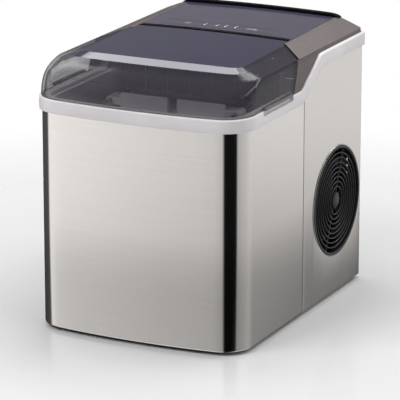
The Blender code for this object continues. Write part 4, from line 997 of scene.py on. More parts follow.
def grille_pieces():
    """Black grille: a rounded rim, close rings, a domed hub and radial spokes behind."""
    grille = bpy.context.scene.ice_maker_grille
    place = (BODY_HALF_W, GRILLE_Y, GRILLE_Z)
    made = Build()
    inner = GRILLE_R - grille.rim_width
    rim = [(inner, -5 * MM), (GRILLE_R - 2.4 * MM, -5 * MM), (GRILLE_R - 2.4 * MM, 0.25 * MM),
           (GRILLE_R - 0.3 * MM, 0.25 * MM), *arc((GRILLE_R - 1.1 * MM, 0.7 * MM), 0.8 * MM, 0, 90, 4),
           *arc((inner + 0.9 * MM, 0.6 * MM), 0.9 * MM, 90, 180, 4)]
    made.hoop(rim, place, (1, 0, 0), 96)
    first = 10 * MM
    pitch = (inner - first) / (grille.rings + 1)
    half = grille.ring_width / 2
    for k in range(grille.rings):
        radius = first + pitch * (k + 1)
        section = [(radius + half * a, h * MM) for a, h in
                   ((-1, -2.2), (1, -2.2), (1, -0.1), (0.6, 0.3), (0, 0.45), (-0.6, 0.3), (-1, -0.1))]
        made.hoop(section, place, (1, 0, 0), 80)
    hub = [(0, 0.9 * MM), (4 * MM, 0.8 * MM), (7 * MM, 0.4 * MM), (8.6 * MM, -0.4 * MM), (9 * MM, -1.4 * MM),
           (9 * MM, -4.4 * MM), (0, -4.4 * MM)]
    made.turned(hub, place, (1, 0, 0), 48)
    for k in range(grille.spokes):
        turn = Matrix.Rotation(2 * math.pi * (k + 0.5) / grille.spokes, 3, "X")
        rows = []
        for radius in (8 * MM, inner + 0.6 * MM):
            row = []
            for y, x in ((-1.1, -4.4), (1.1, -4.4), (1.1, -2.4), (0.5, -1.9), (-0.5, -1.9), (-1.1, -2.4)):
                row.append(Vector(place) + turn @ Vector((x * MM, y * MM, radius)))
            rows.append(row)
        made.skin(rows, caps=True)
    made.piece("round_grille", "cabinet", "black_plastic", ["fan_grille"])


def fan_pieces():
    """Fan rotor: a domed hub with five curved, twisted blades."""
    low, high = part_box("fan_rotor")
    centre = (low + high) / 2
    made = Build()
    made.turned([(0, 7 * MM), (8 * MM, 6.6 * MM), (12 * MM, 5 * MM), (13 * MM, 3 * MM), (13 * MM, -6 * MM),
                 (12.4 * MM, -7 * MM), (0, -7 * MM)], centre, (1, 0, 0), 48)
    for k in range(5):
        turn = Matrix.Rotation(2 * math.pi * k / 5, 3, "X")
        rows = []
        for m in range(7):
            radius = (11.5 + 23.3 * m / 6) * MM
            pitch = math.radians(52 - 26 * m / 6)
            chord = (6.5 + 3.4 * math.sin(math.pi * (0.25 + 0.5 * m / 6))) * MM
            row = []
            for side in (1, -1):
                for step in range(7):
                    t = (step / 3 - 1) * side
                    along, camber = chord * t, 1.6 * MM * (1 - t * t) + side * 0.55 * MM * (1 - t**4)
                    row.append(Vector(centre) + turn @ Vector((
                        along * math.sin(pitch) + camber * math.cos(pitch),
                        along * math.cos(pitch) - camber * math.sin(pitch) + 2 * MM * m / 6, radius)))
            rows.append(row)
        made.skin(rows, caps=True)
    made.piece("fan_blades", "fan", "black_plastic", ["fan_rotor"], merge=False)


# ---------------------------------------------------------------- ice making


def ice_pieces():
    """Splash guard, cold fingers, tray, slide and their fittings."""
    low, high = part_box("splash_guard")
    made = Build()
    xs = [(k - 2.5) * 26 * MM for k in range(6)]
    edges = [low.x] + [x for c in xs for x in (c - 0.9 * MM, c + 0.9 * MM)] + [high.x]
    for k in range(0, len(edges), 2):
        outline = round_box(edges[k], low.z, edges[k + 1], high.z - 5.9 * MM, 1.4 * MM, 4)
        made.prism(outline, low.y, high.y, "Y", 0.4 * MM)
    made.block((low.x, low.y, high.z - 6 * MM), high, 0.4 * MM)
    made.piece("curtain", "cabinet", "dark_guard", ["splash_guard"], merge=False)
    # Painted highlights: pale strips fill the curtain's slits.
    made = Build()
    for x in xs:
        made.block((x - 0.45 * MM, low.y + 0.6 * MM, low.z + 3 * MM),
                   (x + 0.45 * MM, low.y + 1.5 * MM, high.z - 8 * MM), 0.1 * MM)
    made.piece("curtain_slit_highlights", "cabinet", "painted_slit_highlight", slot="liner_plastic", merge=False)
    low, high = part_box("evaporator")
    made = Build().block((low.x, low.y, high.z - 8 * MM), high, 0.8 * MM)
    middle = (low.y + high.y) / 2
    for x in xs:
        profile = [(0, low.z), (2.4 * MM, low.z + 0.3 * MM), (4.2 * MM, low.z + 1.6 * MM),
                   (4.6 * MM, low.z + 3.4 * MM), (5.5 * MM, high.z - 12 * MM),
                   (6.6 * MM, high.z - 8 * MM), (0, high.z - 7 * MM)]
        made.turned(profile, (x, middle, 0), steps=28)
    made.piece("cold_fingers", "cabinet", "nickel", ["evaporator"], merge=False)
    tray_low, tray_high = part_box("water_tray")
    centre = ((tray_low.y + tray_high.y) / 2, tray_high.z)
    outer = arc(centre, (tray_high.y - tray_low.y) / 2, 180, 360, 28)
    inner = arc(centre, (tray_high.y - tray_low.y) / 2 - 2 * MM, 360, 180, 28)
    made = Build().prism(outer + inner, tray_low.x + 0.2 * MM, tray_high.x - 0.2 * MM, "X", 0.4 * MM)
    for sign in (1, -1):
        x0, x1 = sorted((sign * (tray_high.x - 2.2 * MM), sign * tray_high.x))
        made.prism(arc(centre, 18.6 * MM, 180, 360, 28), x0, x1, "X", 0.4 * MM)
        made.turned([(0, 0.4 * MM), (5.4 * MM, 0.4 * MM), (6 * MM, 0), (6 * MM, -2 * MM), (0, -2 * MM)],
                    (sign * (tray_high.x - 0.4 * MM), *centre), (sign, 0, 0), 32)
    made.piece("ice_tray", "tray", "liner_plastic", ["water_tray"], merge=False)
    low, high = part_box("ice_slide")
    made = Build()
    side = [(high.y, high.z - 2.5 * MM), (low.y + 1 * MM, low.z), (low.y, low.z + 1.2 * MM),
            (low.y + 0.6 * MM, low.z + 2.4 * MM), (high.y, high.z)]
    made.prism(side, low.x, high.x, "X", 0.3 * MM)
    slope = (high.z - low.z - 2.5 * MM) / (high.y - low.y)
    for k in range(13):
        x = (k - 6) * 12.5 * MM
        rows = []
        for y in (low.y + 6 * MM, high.y - 4 * MM):
            z = low.z + 2.4 * MM + slope * (y - low.y)
            rows.append([(x + a * MM, y, z + h * MM)
                         for a, h in ((-1, -0.6), (1, -0.6), (0.8, 0.5), (0, 0.9), (-0.8, 0.5))])
        made.skin(rows, caps=True)
    made.piece("slide_ribbed", "cabinet", "liner_plastic", ["ice_slide"], merge=False)


def rake_pieces():
    """Pale rake: a ribbed plate with a middle notch and two arms with guide eyes."""
    low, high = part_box("ice_rake")
    front, back = low.y, low.y + 3 * MM
    made = Build()
    outline = [(-60 * MM, 212 * MM), (60 * MM, 212 * MM), (60 * MM, high.z - 1.5 * MM), (58.5 * MM, high.z),
               (6.5 * MM, high.z), (5.5 * MM, high.z - 1 * MM), (5.5 * MM, 218 * MM), (4.5 * MM, 217 * MM),
               (-4.5 * MM, 217 * MM), (-5.5 * MM, 218 * MM), (-5.5 * MM, high.z - 1 * MM),
               (-6.5 * MM, high.z), (-58.5 * MM, high.z), (-60 * MM, high.z - 1.5 * MM)]
    made.prism(outline, front, back, "Y", 0.4 * MM)
    for k in range(10):
        x = (k - 4.5) * 12 * MM
        made.block((x - 0.8 * MM, back - 0.5 * MM, 213 * MM),
                   (x + 0.8 * MM, back + 1.5 * MM, high.z - 3 * MM), 0.3 * MM)
    for sign in (1, -1):
        x0, x1 = sorted((sign * 56 * MM, sign * 69 * MM))
        made.block((x0, front + 0.2 * MM, 225 * MM), (x1, high.y, 233 * MM), 0.8 * MM)
        eye = [(2.6 * MM, 8.5 * MM), (4.6 * MM, 8.5 * MM), (5 * MM, 8 * MM), (5 * MM, -8 * MM),
               (4.6 * MM, -8.5 * MM), (2.6 * MM, -8.5 * MM)]
        made.hoop(eye, (sign * 72 * MM, (front + high.y) / 2, 229 * MM), (0, 1, 0), 32)
    made.piece("rake_plate", "rake", "basket_plastic", ["ice_rake"], merge=False)


def basket_pieces():
    """Pale basket with a rolled rim and slots in its floor."""
    low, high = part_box("ice_basket")
    foot, rim = low.z, high.z
    # Inset at the sides and at the ends in mm, height, and corner in mm: from under the floor, up over the
    # rim and down to the floor's inside.
    outlines = (
        (8, 6.5, foot, 10), (6, 5, foot + 1.2 * MM, 12), (1.6, 1.6, rim - 6 * MM, 12),
        (0.2, 0.2, rim - 3 * MM, 12), (0, 0, rim - 1 * MM, 12), (0.8, 0.8, rim, 12),
        (2.2, 2.2, rim - 0.4 * MM, 10), (3.4, 3.4, rim - 6 * MM, 10),
        (8, 7, foot + 2.4 * MM, 10), (10, 9, foot + 2 * MM, 9),
    )
    rows = []
    for side, end, z, corner in outlines:
        line = plan(high.x - side * MM, low.y + end * MM, high.y - end * MM,
                    corner * MM, corner * MM, steps=8)
        rows.append([(x, y, z) for x, y in line])
    obj = Build().skin(rows, caps=True).piece("basket_tub", "basket", "basket_plastic", ["ice_basket"])
    slots = []
    for k in range(12):
        x = (-66 + 12 * k) * MM
        outline = round_box(x - 2 * MM, -122 * MM, x + 2 * MM, -62 * MM, 1.9 * MM, 4)
        slots.append(Build().prism(outline, low.z - THROUGH, low.z + 8 * MM).cutter())
    carve(obj, slots)
    smooth(obj, 35)


def liner_pieces():
    """Bead round the mouth of the liner, whose own solid stays in sight."""
    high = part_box("inner_liner")[1]
    line = plan(105.6 * MM, -146.6 * MM, 45.6 * MM, 20.5 * MM, 20.5 * MM)
    path = [(x, y, high.z + 0.1 * MM) for x, y in line]
    rows = []
    for k, here in enumerate(path):
        before, after = Vector(path[k - 1]), Vector(path[(k + 1) % len(path)])
        along = (after - before).normalized()
        out = Vector((along.y, -along.x, 0))
        rows.append([Vector(here) + out * (1.1 * MM * math.cos(a)) + Vector((0, 0, 1.0 * MM * math.sin(a)))
                     for a in [2 * math.pi * m / 8 for m in range(8)]])
    Build().skin(rows, closed_ends=True).piece("mouth_bead", "cabinet", "liner_plastic")


def bulkhead():
    """The plate behind the cold fingers that closes the ice room's rear, with a ring round each pipe."""
    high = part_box("inner_liner")[1]
    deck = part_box("cover_deck")[0]
    outline = round_box(-104 * MM, high.z + 0.4 * MM, 104 * MM, deck.z - 0.4 * MM, 3 * MM)
    wall = Build().prism(outline, 49 * MM, 50.5 * MM, "Y", 0.3 * MM).piece(
        "bulkhead", "cabinet", "black_plastic")
    holes = []
    for x, z, radius in ((62, 260, 3.6), (-62, 260, 3.1), (8, 250, 4.6)):
        ring = arc((x * MM, z * MM), radius * MM, 0, 345, 23)
        holes.append(Build().prism(ring, 40 * MM, 60 * MM, "Y").cutter())
        Build().hoop([(radius * MM + 0.1 * MM, 1.4 * MM), (radius * MM + 1.8 * MM, 1.1 * MM),
                      (radius * MM + 1.8 * MM, -1.1 * MM), (radius * MM + 0.1 * MM, -1.4 * MM)],
                     (x * MM, 49.7 * MM, z * MM), (0, 1, 0), 32).piece(f"grommet_{x}", "cabinet", "rubber")
    carve(wall, holes)
    wall.data.set_sharp_from_angle(angle=math.radians(35))


# ---------------------------------------------------------------- rear and underside


def rear_pieces():
    """Louvred zinc rear panel, cross-slot screws, mains inlet with three pins, and the drain plug."""
    low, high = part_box("rear_panel")
    panel = Build().block(low, high, 0.4 * MM).piece(
        "rear_plate", "cabinet", "zinc_steel", ["rear_panel"])
    cutters = []
    inlet_low, inlet_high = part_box("power_inlet")
    outline = round_box(50 * MM, 30 * MM, 80 * MM, 52 * MM, 1.5 * MM)
    cutters.append(Build().prism(outline, low.y - THROUGH, high.y + THROUGH, "Y").cutter())
    plug_low, plug_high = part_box("drain_plug")
    plug = (plug_low + plug_high) / 2
    outline = arc((plug.x, plug.z), 8 * MM, 0, 350, 35)
    cutters.append(Build().prism(outline, low.y - THROUGH, high.y + THROUGH, "Y").cutter())
    for row in range(10):
        z = (150 + 9 * row) * MM
        for column in (-1, 0, 1):
            x = column * 40 * MM
            outline = round_box(x - 17 * MM, z, x + 17 * MM, z + 4 * MM, 1.9 * MM, 4)
            cutters.append(Build().prism(outline, low.y - THROUGH, high.y + THROUGH, "Y").cutter())
    carve(panel, cutters)
    smooth(panel, 30)
    ribs = Build()
    for x0, z0, x1, z1 in ((-88, 120, 88, 122), (-88, 245, 88, 247), (-88, 60, 30, 62)):
        ribs.block((x0 * MM, high.y - 0.4 * MM, z0 * MM), (x1 * MM, high.y + 0.9 * MM, z1 * MM), 0.6 * MM)
    ribs.piece("plate_ribs", "cabinet", "zinc_steel", merge=False)
    for tag in "abcd":
        s_low, s_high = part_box(f"rear_screw_{tag}")
        c = (s_low + s_high) / 2
        tall = s_high.y - s_low.y
        head = Build().turned([(0, tall), (1.6 * MM, tall - 0.05 * MM), (2.8 * MM, tall - 0.5 * MM),
                               (3.5 * MM, 0.6 * MM), (3.6 * MM, 0), (0, 0)],
                              (c.x, s_low.y, c.z), (0, 1, 0), 32)
        head = head.piece(f"screw_{tag}", "cabinet", "nickel", [f"rear_screw_{tag}"])
        slots = [Build().block((c.x - a * MM, s_high.y - 0.9 * MM, c.z - b * MM),
                               (c.x + a * MM, s_high.y + 1 * MM, c.z + b * MM), 0.1 * MM).cutter()
                 for a, b in ((2.1, 0.4), (0.4, 2.1))]
        carve(head, slots)
    c = (inlet_low + inlet_high) / 2
    flange = Build().prism(round_box(inlet_low.x, inlet_low.z, inlet_high.x, inlet_high.z, 3 * MM, 6),
                           inlet_high.y - 2 * MM, inlet_high.y, "Y", 0.5 * MM)
    flange = flange.piece("inlet_body", "cabinet", "black_plastic", ["power_inlet"])
    shell = Build().block((50.4 * MM, inlet_low.y, 30.4 * MM),
                          (79.6 * MM, inlet_high.y - 1 * MM, 51.6 * MM), 0.8 * MM)
    carve(flange, [shell.cutter()], "UNION")
    mouth = [(c.x - 11 * MM, c.z - 7 * MM), (c.x + 11 * MM, c.z - 7 * MM), (c.x + 11 * MM, c.z + 2 * MM),
             (c.x + 7 * MM, c.z + 7 * MM), (c.x - 7 * MM, c.z + 7 * MM), (c.x - 11 * MM, c.z + 2 * MM)]
    carve(flange, [Build().prism(mouth, inlet_high.y - 15.8 * MM, inlet_high.y + 5 * MM, "Y").cutter()])
    flange.data.set_sharp_from_angle(angle=math.radians(35))
    pins = Build()
    for x, z in ((-6.5, -2), (6.5, -2), (0, 2.4)):
        pins.block((c.x + (x - 0.9) * MM, inlet_high.y - 16.2 * MM, c.z + (z - 2) * MM),
                   (c.x + (x + 0.9) * MM, inlet_high.y - 4 * MM, c.z + (z + 2) * MM), 0.5 * MM)
    pins.piece("inlet_pins", "cabinet", "nickel", merge=False)
    profile = [(0, 4 * MM), (5 * MM, 4 * MM), (6 * MM, 3.4 * MM), (9.6 * MM, 3.4 * MM), (10.8 * MM, 2.6 * MM),
               (11 * MM, 1.6 * MM), (10.6 * MM, 0.3 * MM), (7 * MM, 0.3 * MM), (7 * MM, -3 * MM),
               (6.6 * MM, -3.6 * MM), (7 * MM, -4.4 * MM), (6.4 * MM, -9.4 * MM),
               (5.4 * MM, -10 * MM), (0, -10 * MM)]
    Build().turned(profile, (plug.x, BODY_REAR, plug.z), (0, 1, 0), 48).piece(
        "drain_stopper", "plug", "rubber", ["drain_plug"])


def base_pieces():
    """Base pan with slots in its floor, and four turned rubber feet."""
    rows = []
    for inset, z in ((3.4, 3), (2.2, 3.4), (1.4, 4.6), (1.4, 9)):
        rows.append([(x, y, z * MM) for x, y in body_plan(-inset * MM)])
    obj = Build().skin(rows, caps=True).piece("base_tray", "cabinet", "black_plastic", ["base_pan"])
    slots = []
    for k in range(9):
        y = (-60 + 14 * k) * MM
        outline = round_box(-60 * MM, y, 60 * MM, y + 4 * MM, 1.9 * MM, 4)
        slots.append(Build().prism(outline, 2 * MM, 5.4 * MM).cutter())
    carve(obj, slots)
    smooth(obj, 30)
    for tag in ("front_left", "front_right", "rear_left", "rear_right"):
        f_low, f_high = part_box(f"foot_{tag}")
        c = (f_low + f_high) / 2
        tall = f_high.z - f_low.z
        profile = [(0, 0.5 * MM), (5.6 * MM, 0.5 * MM), (6.2 * MM, 0), (8.4 * MM, 0), (9.2 * MM, 0.5 * MM),
                   (10.3 * MM, tall - 0.5 * MM), (10.3 * MM, tall), (0, tall)]
        Build().turned(profile, (c.x, c.y, 0), steps=48).piece(
            f"pad_{tag}", "cabinet", "rubber", [f"foot_{tag}"])


def machine_pieces():
    """Condenser and its tubes, the compressor's weld and terminal cover, and the drier."""
    low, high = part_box("condenser")
    made = Build()
    for k in range(34):
        y = low.y + (high.y - low.y - 0.5 * MM) * k / 33
        made.block((low.x + 1 * MM, y, low.z + 2 * MM),
                   (high.x - 1 * MM, y + 0.5 * MM, high.z - 2 * MM), 0.05 * MM)
    made.block((low.x, low.y, low.z), (high.x, high.y, low.z + 2 * MM), 0.4 * MM)
    made.block((low.x, low.y, high.z - 2 * MM), (high.x, high.y, high.z), 0.4 * MM)
    made.piece("fin_stack", "cabinet", "aluminium_fins", ["condenser"], merge=False)
    coil = Build()
    for k in range(6):
        z = low.z + (12 + 16 * k) * MM
        for x in (low.x + 8 * MM, low.x + 16 * MM):
            coil.tube([(x, low.y + 0.6 * MM, z), (x, high.y - 0.6 * MM, z)], 2.2 * MM, 12)
    coil.piece("coil_tubes", "cabinet", "copper", merge=False)
    low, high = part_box("compressor")
    c = (low + high) / 2
    weld = [(45.2 * MM, 97.6 * MM), (46.1 * MM, 96.8 * MM), (46.1 * MM, 92.2 * MM),
            (45.2 * MM, 91.4 * MM), (44.4 * MM, 94.5 * MM)]
    made = Build().hoop(weld, (c.x, c.y, 0), steps=72)
    made.block((c.x - 14 * MM, low.y - 3 * MM, 55 * MM), (c.x + 14 * MM, low.y + 6 * MM, 84 * MM), 1.6 * MM)
    made.piece("weld_and_terminals", "cabinet", "black_enamel", merge=False)
    low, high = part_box("filter_drier")
    c = (low + high) / 2
    half = (high.y - low.y) / 2
    profile = [(0, half), (2.4 * MM, half - 0.2 * MM), (3 * MM, half - 5 * MM),
               (7.6 * MM, half - 11 * MM), (8 * MM, half - 14 * MM), (8 * MM, -half + 14 * MM),
               (7.6 * MM, -half + 11 * MM), (3 * MM, -half + 5 * MM), (2.4 * MM, -half + 0.2 * MM),
               (0, -half)]
    Build().turned(profile, c, (0, 1, 0), 40).piece("drier", "cabinet", "copper", ["filter_drier"])


def dress_frame():
    """Gives every solid still shown the finish of its slot."""
    slots = {entry["node"]: entry["material_slot"] for entry in frame["record"]["subparts"]}
    for name, obj in frame["nodes"].items():
        if obj.hide_render:
            continue
        obj.data.materials.clear()
        obj.data.materials.append(FINISHES[slots[name]])


# ---------------------------------------------------------------- studio


def ramp(tree, value, stops):
    node = tree.nodes.new("ShaderNodeValToRGB")
    elements = node.color_ramp.elements
    while len(elements) > 1:
        elements.remove(elements[-1])
    elements[0].position = stops[0][0]
    elements[0].color = (*[stops[0][1]] * 3, 1.0)
    for place, level in stops[1:]:
        made = elements.new(place)
        made.color = (*[level] * 3, 1.0)
    tree.links.new(value, node.inputs["Fac"])
    return node.outputs["Color"]


def maths(tree, operation, a, b=None, clamp=False):
    node = tree.nodes.new("ShaderNodeMath")
    node.operation = operation
    node.use_clamp = clamp
    for socket, value in zip(node.inputs, (a, b)):
        if value is None:
            continue
        if isinstance(value, (int, float)):
            socket.default_value = value
        else:
            tree.links.new(value, socket)
    return node.outputs[0]


# Light round the object by azimuth from its front, positive to its right: degrees and radiance.
WALL_LIGHT = ((-180, 0.02), (-160, 0.05), (-150, 0.07), (-78, 0.08), (-71, 0.98), (-45, 0.98),
              (-20, 0.80), (0, 0.68), (20, 0.60), (26, 0.004), (66, 0.004), (70, 0.50), (100, 0.62),
              (125, 0.75), (150, 0.77), (170, 0.75), (180, 0.02))
# Share of it that is left at the foot of the wall of light.
WALL_FOOT = ((-180, 0.2), (-72, 0.85), (-40, 0.60), (0, 0.52), (70, 0.5), (120, 0.52), (150, 0.34),
             (170, 0.12), (180, 0.1))
# Light above the horizon, by elevation in degrees: radiance.
ROOF_LIGHT = ((0, 0.16), (8, 0.26), (14, 0.24), (20, 0.17), (26, 0.13), (31, 0.35), (33, 4.2),
              (41, 4.2), (44, 0.2), (52, 0.05), (90, 0.05))
RADIANCE_SCALE = 5.0
# Radius of the floor.
FLOOR_R = 1.2


def by_azimuth(tree, x, y, stops, scale=1.0):
    """A ramp over the azimuth from the front, positive to the right."""
    azimuth = maths(tree, "ARCTAN2", x, maths(tree, "MULTIPLY", y, -1.0))
    share = maths(tree, "ADD", maths(tree, "DIVIDE", azimuth, 2 * math.pi), 0.5)
    return ramp(tree, share, [((a + 180) / 360, v / scale) for a, v in stops])


def light_wall():
    """A round wall of light that only reflections see: it dims towards its foot."""
    radius, low, high = 1.3, -1.0, 0.24
    made = Build().skin([circle(radius, z) for z in (low, high)])
    material = bpy.data.materials.new("light_wall")
    material.use_nodes = True
    tree = material.node_tree
    tree.nodes.clear()
    place = tree.nodes.new("ShaderNodeTexCoord").outputs["Object"]
    split = tree.nodes.new("ShaderNodeSeparateXYZ")
    tree.links.new(place, split.inputs[0])
    x, y, z = split.outputs
    level = by_azimuth(tree, x, y, WALL_LIGHT)
    foot = by_azimuth(tree, x, y, WALL_FOOT)
    drop = tree.nodes.new("ShaderNodeMapRange")
    drop.interpolation_type = "SMOOTHSTEP"
    for socket, number in (("From Min", -0.08), ("From Max", -0.46), ("To Min", 0.0), ("To Max", 1.0)):
        drop.inputs[socket].default_value = number
    tree.links.new(z, drop.inputs["Value"])
    lost = maths(tree, "MULTIPLY", drop.outputs["Result"], maths(tree, "SUBTRACT", foot, 1.0))
    fall = maths(tree, "ADD", 1.0, lost)
    emit = tree.nodes.new("ShaderNodeEmission")
    emit.inputs["Color"].default_value = (1.0, 0.985, 0.97, 1.0)
    tree.links.new(maths(tree, "MULTIPLY", level, fall), emit.inputs["Strength"])
    output = tree.nodes.new("ShaderNodeOutputMaterial")
    tree.links.new(emit.outputs[0], output.inputs["Surface"])
    FINISHES["light_wall"] = material
    wall = made.piece("light_wall", None, "light_wall", merge=False)
    wall.visible_camera = wall.visible_diffuse = wall.visible_shadow = wall.visible_transmission = False


def light_world():
    """White to the camera; elsewhere panels of light and dark round and over the object."""
    world = bpy.data.worlds.new("studio")
    world.use_nodes = True
    bpy.context.scene.world = world
    tree = world.node_tree
    tree.nodes.clear()
    direction = tree.nodes.new("ShaderNodeTexCoord").outputs["Generated"]
    split = tree.nodes.new("ShaderNodeSeparateXYZ")
    tree.links.new(direction, split.inputs[0])
    x, y, z = split.outputs
    walls = by_azimuth(tree, x, y, WALL_LIGHT, RADIANCE_SCALE)
    up_share = maths(tree, "DIVIDE", maths(tree, "ARCSINE", z), math.pi / 2, clamp=True)
    roof = ramp(tree, up_share, [(e / 90, v / RADIANCE_SCALE) for e, v in ROOF_LIGHT])
    rear = maths(tree, "MULTIPLY", maths(tree, "ADD", y, 0.15), 4.0, clamp=True)
    dim_roof = tree.nodes.new("ShaderNodeMix")
    dim_roof.data_type = "RGBA"
    dim_roof.inputs["A"].default_value = (*[0.14 / RADIANCE_SCALE] * 3, 1.0)
    tree.links.new(roof, dim_roof.inputs["B"])
    tree.links.new(rear, dim_roof.inputs["Factor"])
    above = maths(tree, "MULTIPLY", z, 12.0, clamp=True)
    both = tree.nodes.new("ShaderNodeMix")
    both.data_type = "RGBA"
    tree.links.new(walls, both.inputs["A"])
    tree.links.new(dim_roof.outputs["Result"], both.inputs["B"])
    tree.links.new(above, both.inputs["Factor"])
    room = tree.nodes.new("ShaderNodeBackground")
    tree.links.new(both.outputs["Result"], room.inputs["Color"])
    room.inputs["Strength"].default_value = RADIANCE_SCALE
    paper = tree.nodes.new("ShaderNodeBackground")
    paper.inputs["Color"].default_value = (1.0, 1.0, 1.0, 1.0)
    seen = tree.nodes.new("ShaderNodeLightPath").outputs["Is Camera Ray"]
    choose = tree.nodes.new("ShaderNodeMixShader")
    tree.links.new(seen, choose.inputs[0])
    tree.links.new(room.outputs[0], choose.inputs[1])
    tree.links.new(paper.outputs[0], choose.inputs[2])
    output = tree.nodes.new("ShaderNodeOutputWorld")
    tree.links.new(choose.outputs[0], output.inputs["Surface"])


def floor_finish():
    """Pale satin floor that fades out into the white behind it."""
    made = Finish("floor", (0.66, 0.66, 0.665), 0.05, IOR=1.6)
    made.vary("Roughness", made.spread(made.noise(30 * MM, 4.0), 0.04, 0.07))
    distance = made.tree.nodes.new("ShaderNodeVectorMath")
    distance.operation = "LENGTH"
    made.tree.links.new(made.place, distance.inputs[0])
    fade = made.tree.nodes.new("ShaderNodeMapRange")
    for socket, number in (("From Min", 0.22), ("From Max", 0.75), ("To Min", 1.0), ("To Max", 0.0)):
        fade.inputs[socket].default_value = number
    made.tree.links.new(distance.outputs["Value"], fade.inputs["Value"])
    made.vary("Alpha", fade.outputs["Result"])
    return made.material


def lamp(name, place, aim, size, power, glossy=False):
    data = bpy.data.lights.new(name, "AREA")
    data.shape = "RECTANGLE"
    data.size, data.size_y = size
    data.energy = power
    obj = bpy.data.objects.new(name, data)
    bpy.context.scene.collection.objects.link(obj)
    obj.location = place
    obj.rotation_euler = (Vector(aim) - Vector(place)).to_track_quat("-Z", "Y").to_euler()
    obj.visible_glossy = glossy
    obj.visible_camera = False
    return obj


def set_stage():
    """Floor, light and camera."""
    studio = bpy.context.scene.ice_maker_studio
    FINISHES["floor"] = floor_finish()
    rings = [circle(radius, -0.3 * MM) for radius in (FLOOR_R, 1 * MM)]
    floor = Build().skin(rings).piece("floor", None, "floor", merge=False)
    floor.visible_glossy = False
    light_world()
    light_wall()
    lamp("key", (-0.9, -1.5, 1.6), (0, 0, 0.1), (1.4, 1.0), 31.0)
    lamp("top", (0.1, 0.3, 2.0), (0, 0, 0.2), (1.6, 1.6), 34.0)
    lamp("right", (1.8, -0.5, 0.9), (0, 0, 0.1), (1.0, 1.2), 10.0)
    data = bpy.data.cameras.new("camera")
    data.lens = studio.lens
    data.sensor_width = 36
    data.clip_end = 50
    camera = bpy.data.objects.new("camera", data)
    bpy.context.scene.collection.objects.link(camera)
    az, el = studio.azimuth, studio.elevation
    back = Vector((math.sin(az) * math.cos(el), -math.cos(az) * math.cos(el), math.sin(el)))
    camera.location = Vector(studio.aim) + back * studio.distance
    camera.rotation_euler = (-back).to_track_quat("-Z", "Y").to_euler()
    bpy.context.scene.camera = camera
    bpy.context.scene.view_settings.view_transform = "Standard"


# ---------------------------------------------------------------- add-on


class PieceOperator:
    """Shared run of the operators that build pieces."""

    bl_options = {"REGISTER", "UNDO"}

    def run(self, function):
        if not FINISHES:
            raise RuntimeError("the finishes are made before the pieces")
        function()
        return {"FINISHED"}


class ICEMAKER_OT_finishes(bpy.types.Operator):
    """Make every finish from the chosen colours"""

    bl_idname = "icemaker.finishes"
    bl_label = "Finishes"

    def execute(self, context):
        FINISHES.clear()
        FINISHES.update(make_finishes(context.scene.ice_maker_colours))
        return {"FINISHED"}


def sheets():
    """The front sheet and both side sheets."""
    front_sheet()
    side_sheets()


class ICEMAKER_OT_sheets(PieceOperator, bpy.types.Operator):
    """Build the front wrap and both side sheets"""

    bl_idname = "icemaker.sheets"
    bl_label = "Steel sheets"

    def execute(self, context):
        return self.run(sheets)


class ICEMAKER_OT_band(PieceOperator, bpy.types.Operator):
    """Build the pale band with its finger recesses"""

    bl_idname = "icemaker.band"
    bl_label = "Band"

    def execute(self, context):
        return self.run(band)


class ICEMAKER_OT_lid(PieceOperator, bpy.types.Operator):
    """Build the clear lid with its window and tabs"""

    bl_idname = "icemaker.lid"
    bl_label = "Lid"

    def execute(self, context):
        return self.run(lid_pieces)


class ICEMAKER_OT_cover(PieceOperator, bpy.types.Operator):
    """Build the rear cover and its rear bar"""

    bl_idname = "icemaker.cover"
    bl_label = "Rear cover"

    def execute(self, context):
        return self.run(cover_pieces)


class ICEMAKER_OT_panel(PieceOperator, bpy.types.Operator):
    """Build the control panel, keys, lamps and symbols"""

    bl_idname = "icemaker.panel"
    bl_label = "Panel"

    def execute(self, context):
        return self.run(panel_pieces)


class ICEMAKER_OT_grille(PieceOperator, bpy.types.Operator):
    """Build the round grille"""

    bl_idname = "icemaker.grille"
    bl_label = "Grille"

    def execute(self, context):
        return self.run(grille_pieces)


class ICEMAKER_OT_fan(PieceOperator, bpy.types.Operator):
    """Build the fan's rotor"""

    bl_idname = "icemaker.fan"
    bl_label = "Fan"

    def execute(self, context):
        return self.run(fan_pieces)


class ICEMAKER_OT_ice(PieceOperator, bpy.types.Operator):
    """Build the curtain, cold fingers, tray and slide"""

    bl_idname = "icemaker.ice"
    bl_label = "Ice making"

    def execute(self, context):
        return self.run(ice_pieces)


class ICEMAKER_OT_rake(PieceOperator, bpy.types.Operator):
    """Build the ice rake"""

    bl_idname = "icemaker.rake"
    bl_label = "Rake"

    def execute(self, context):
        return self.run(rake_pieces)


class ICEMAKER_OT_basket(PieceOperator, bpy.types.Operator):
    """Build the ice basket"""

    bl_idname = "icemaker.basket"
    bl_label = "Basket"

    def execute(self, context):
        return self.run(basket_pieces)


class ICEMAKER_OT_liner(PieceOperator, bpy.types.Operator):
    """Build the bead round the liner's mouth"""

    bl_idname = "icemaker.liner"
    bl_label = "Liner bead"

    def execute(self, context):
        return self.run(liner_pieces)


class ICEMAKER_OT_bulkhead(PieceOperator, bpy.types.Operator):
    """Build the plate behind the cold fingers"""

    bl_idname = "icemaker.bulkhead"
    bl_label = "Bulkhead"

    def execute(self, context):
        return self.run(bulkhead)


class ICEMAKER_OT_rear(PieceOperator, bpy.types.Operator):
    """Build the rear plate, screws, inlet and drain stopper"""

    bl_idname = "icemaker.rear"
    bl_label = "Rear"

    def execute(self, context):
        return self.run(rear_pieces)


class ICEMAKER_OT_base(PieceOperator, bpy.types.Operator):
    """Build the base tray and feet"""

    bl_idname = "icemaker.base"
    bl_label = "Base"

    def execute(self, context):
        return self.run(base_pieces)


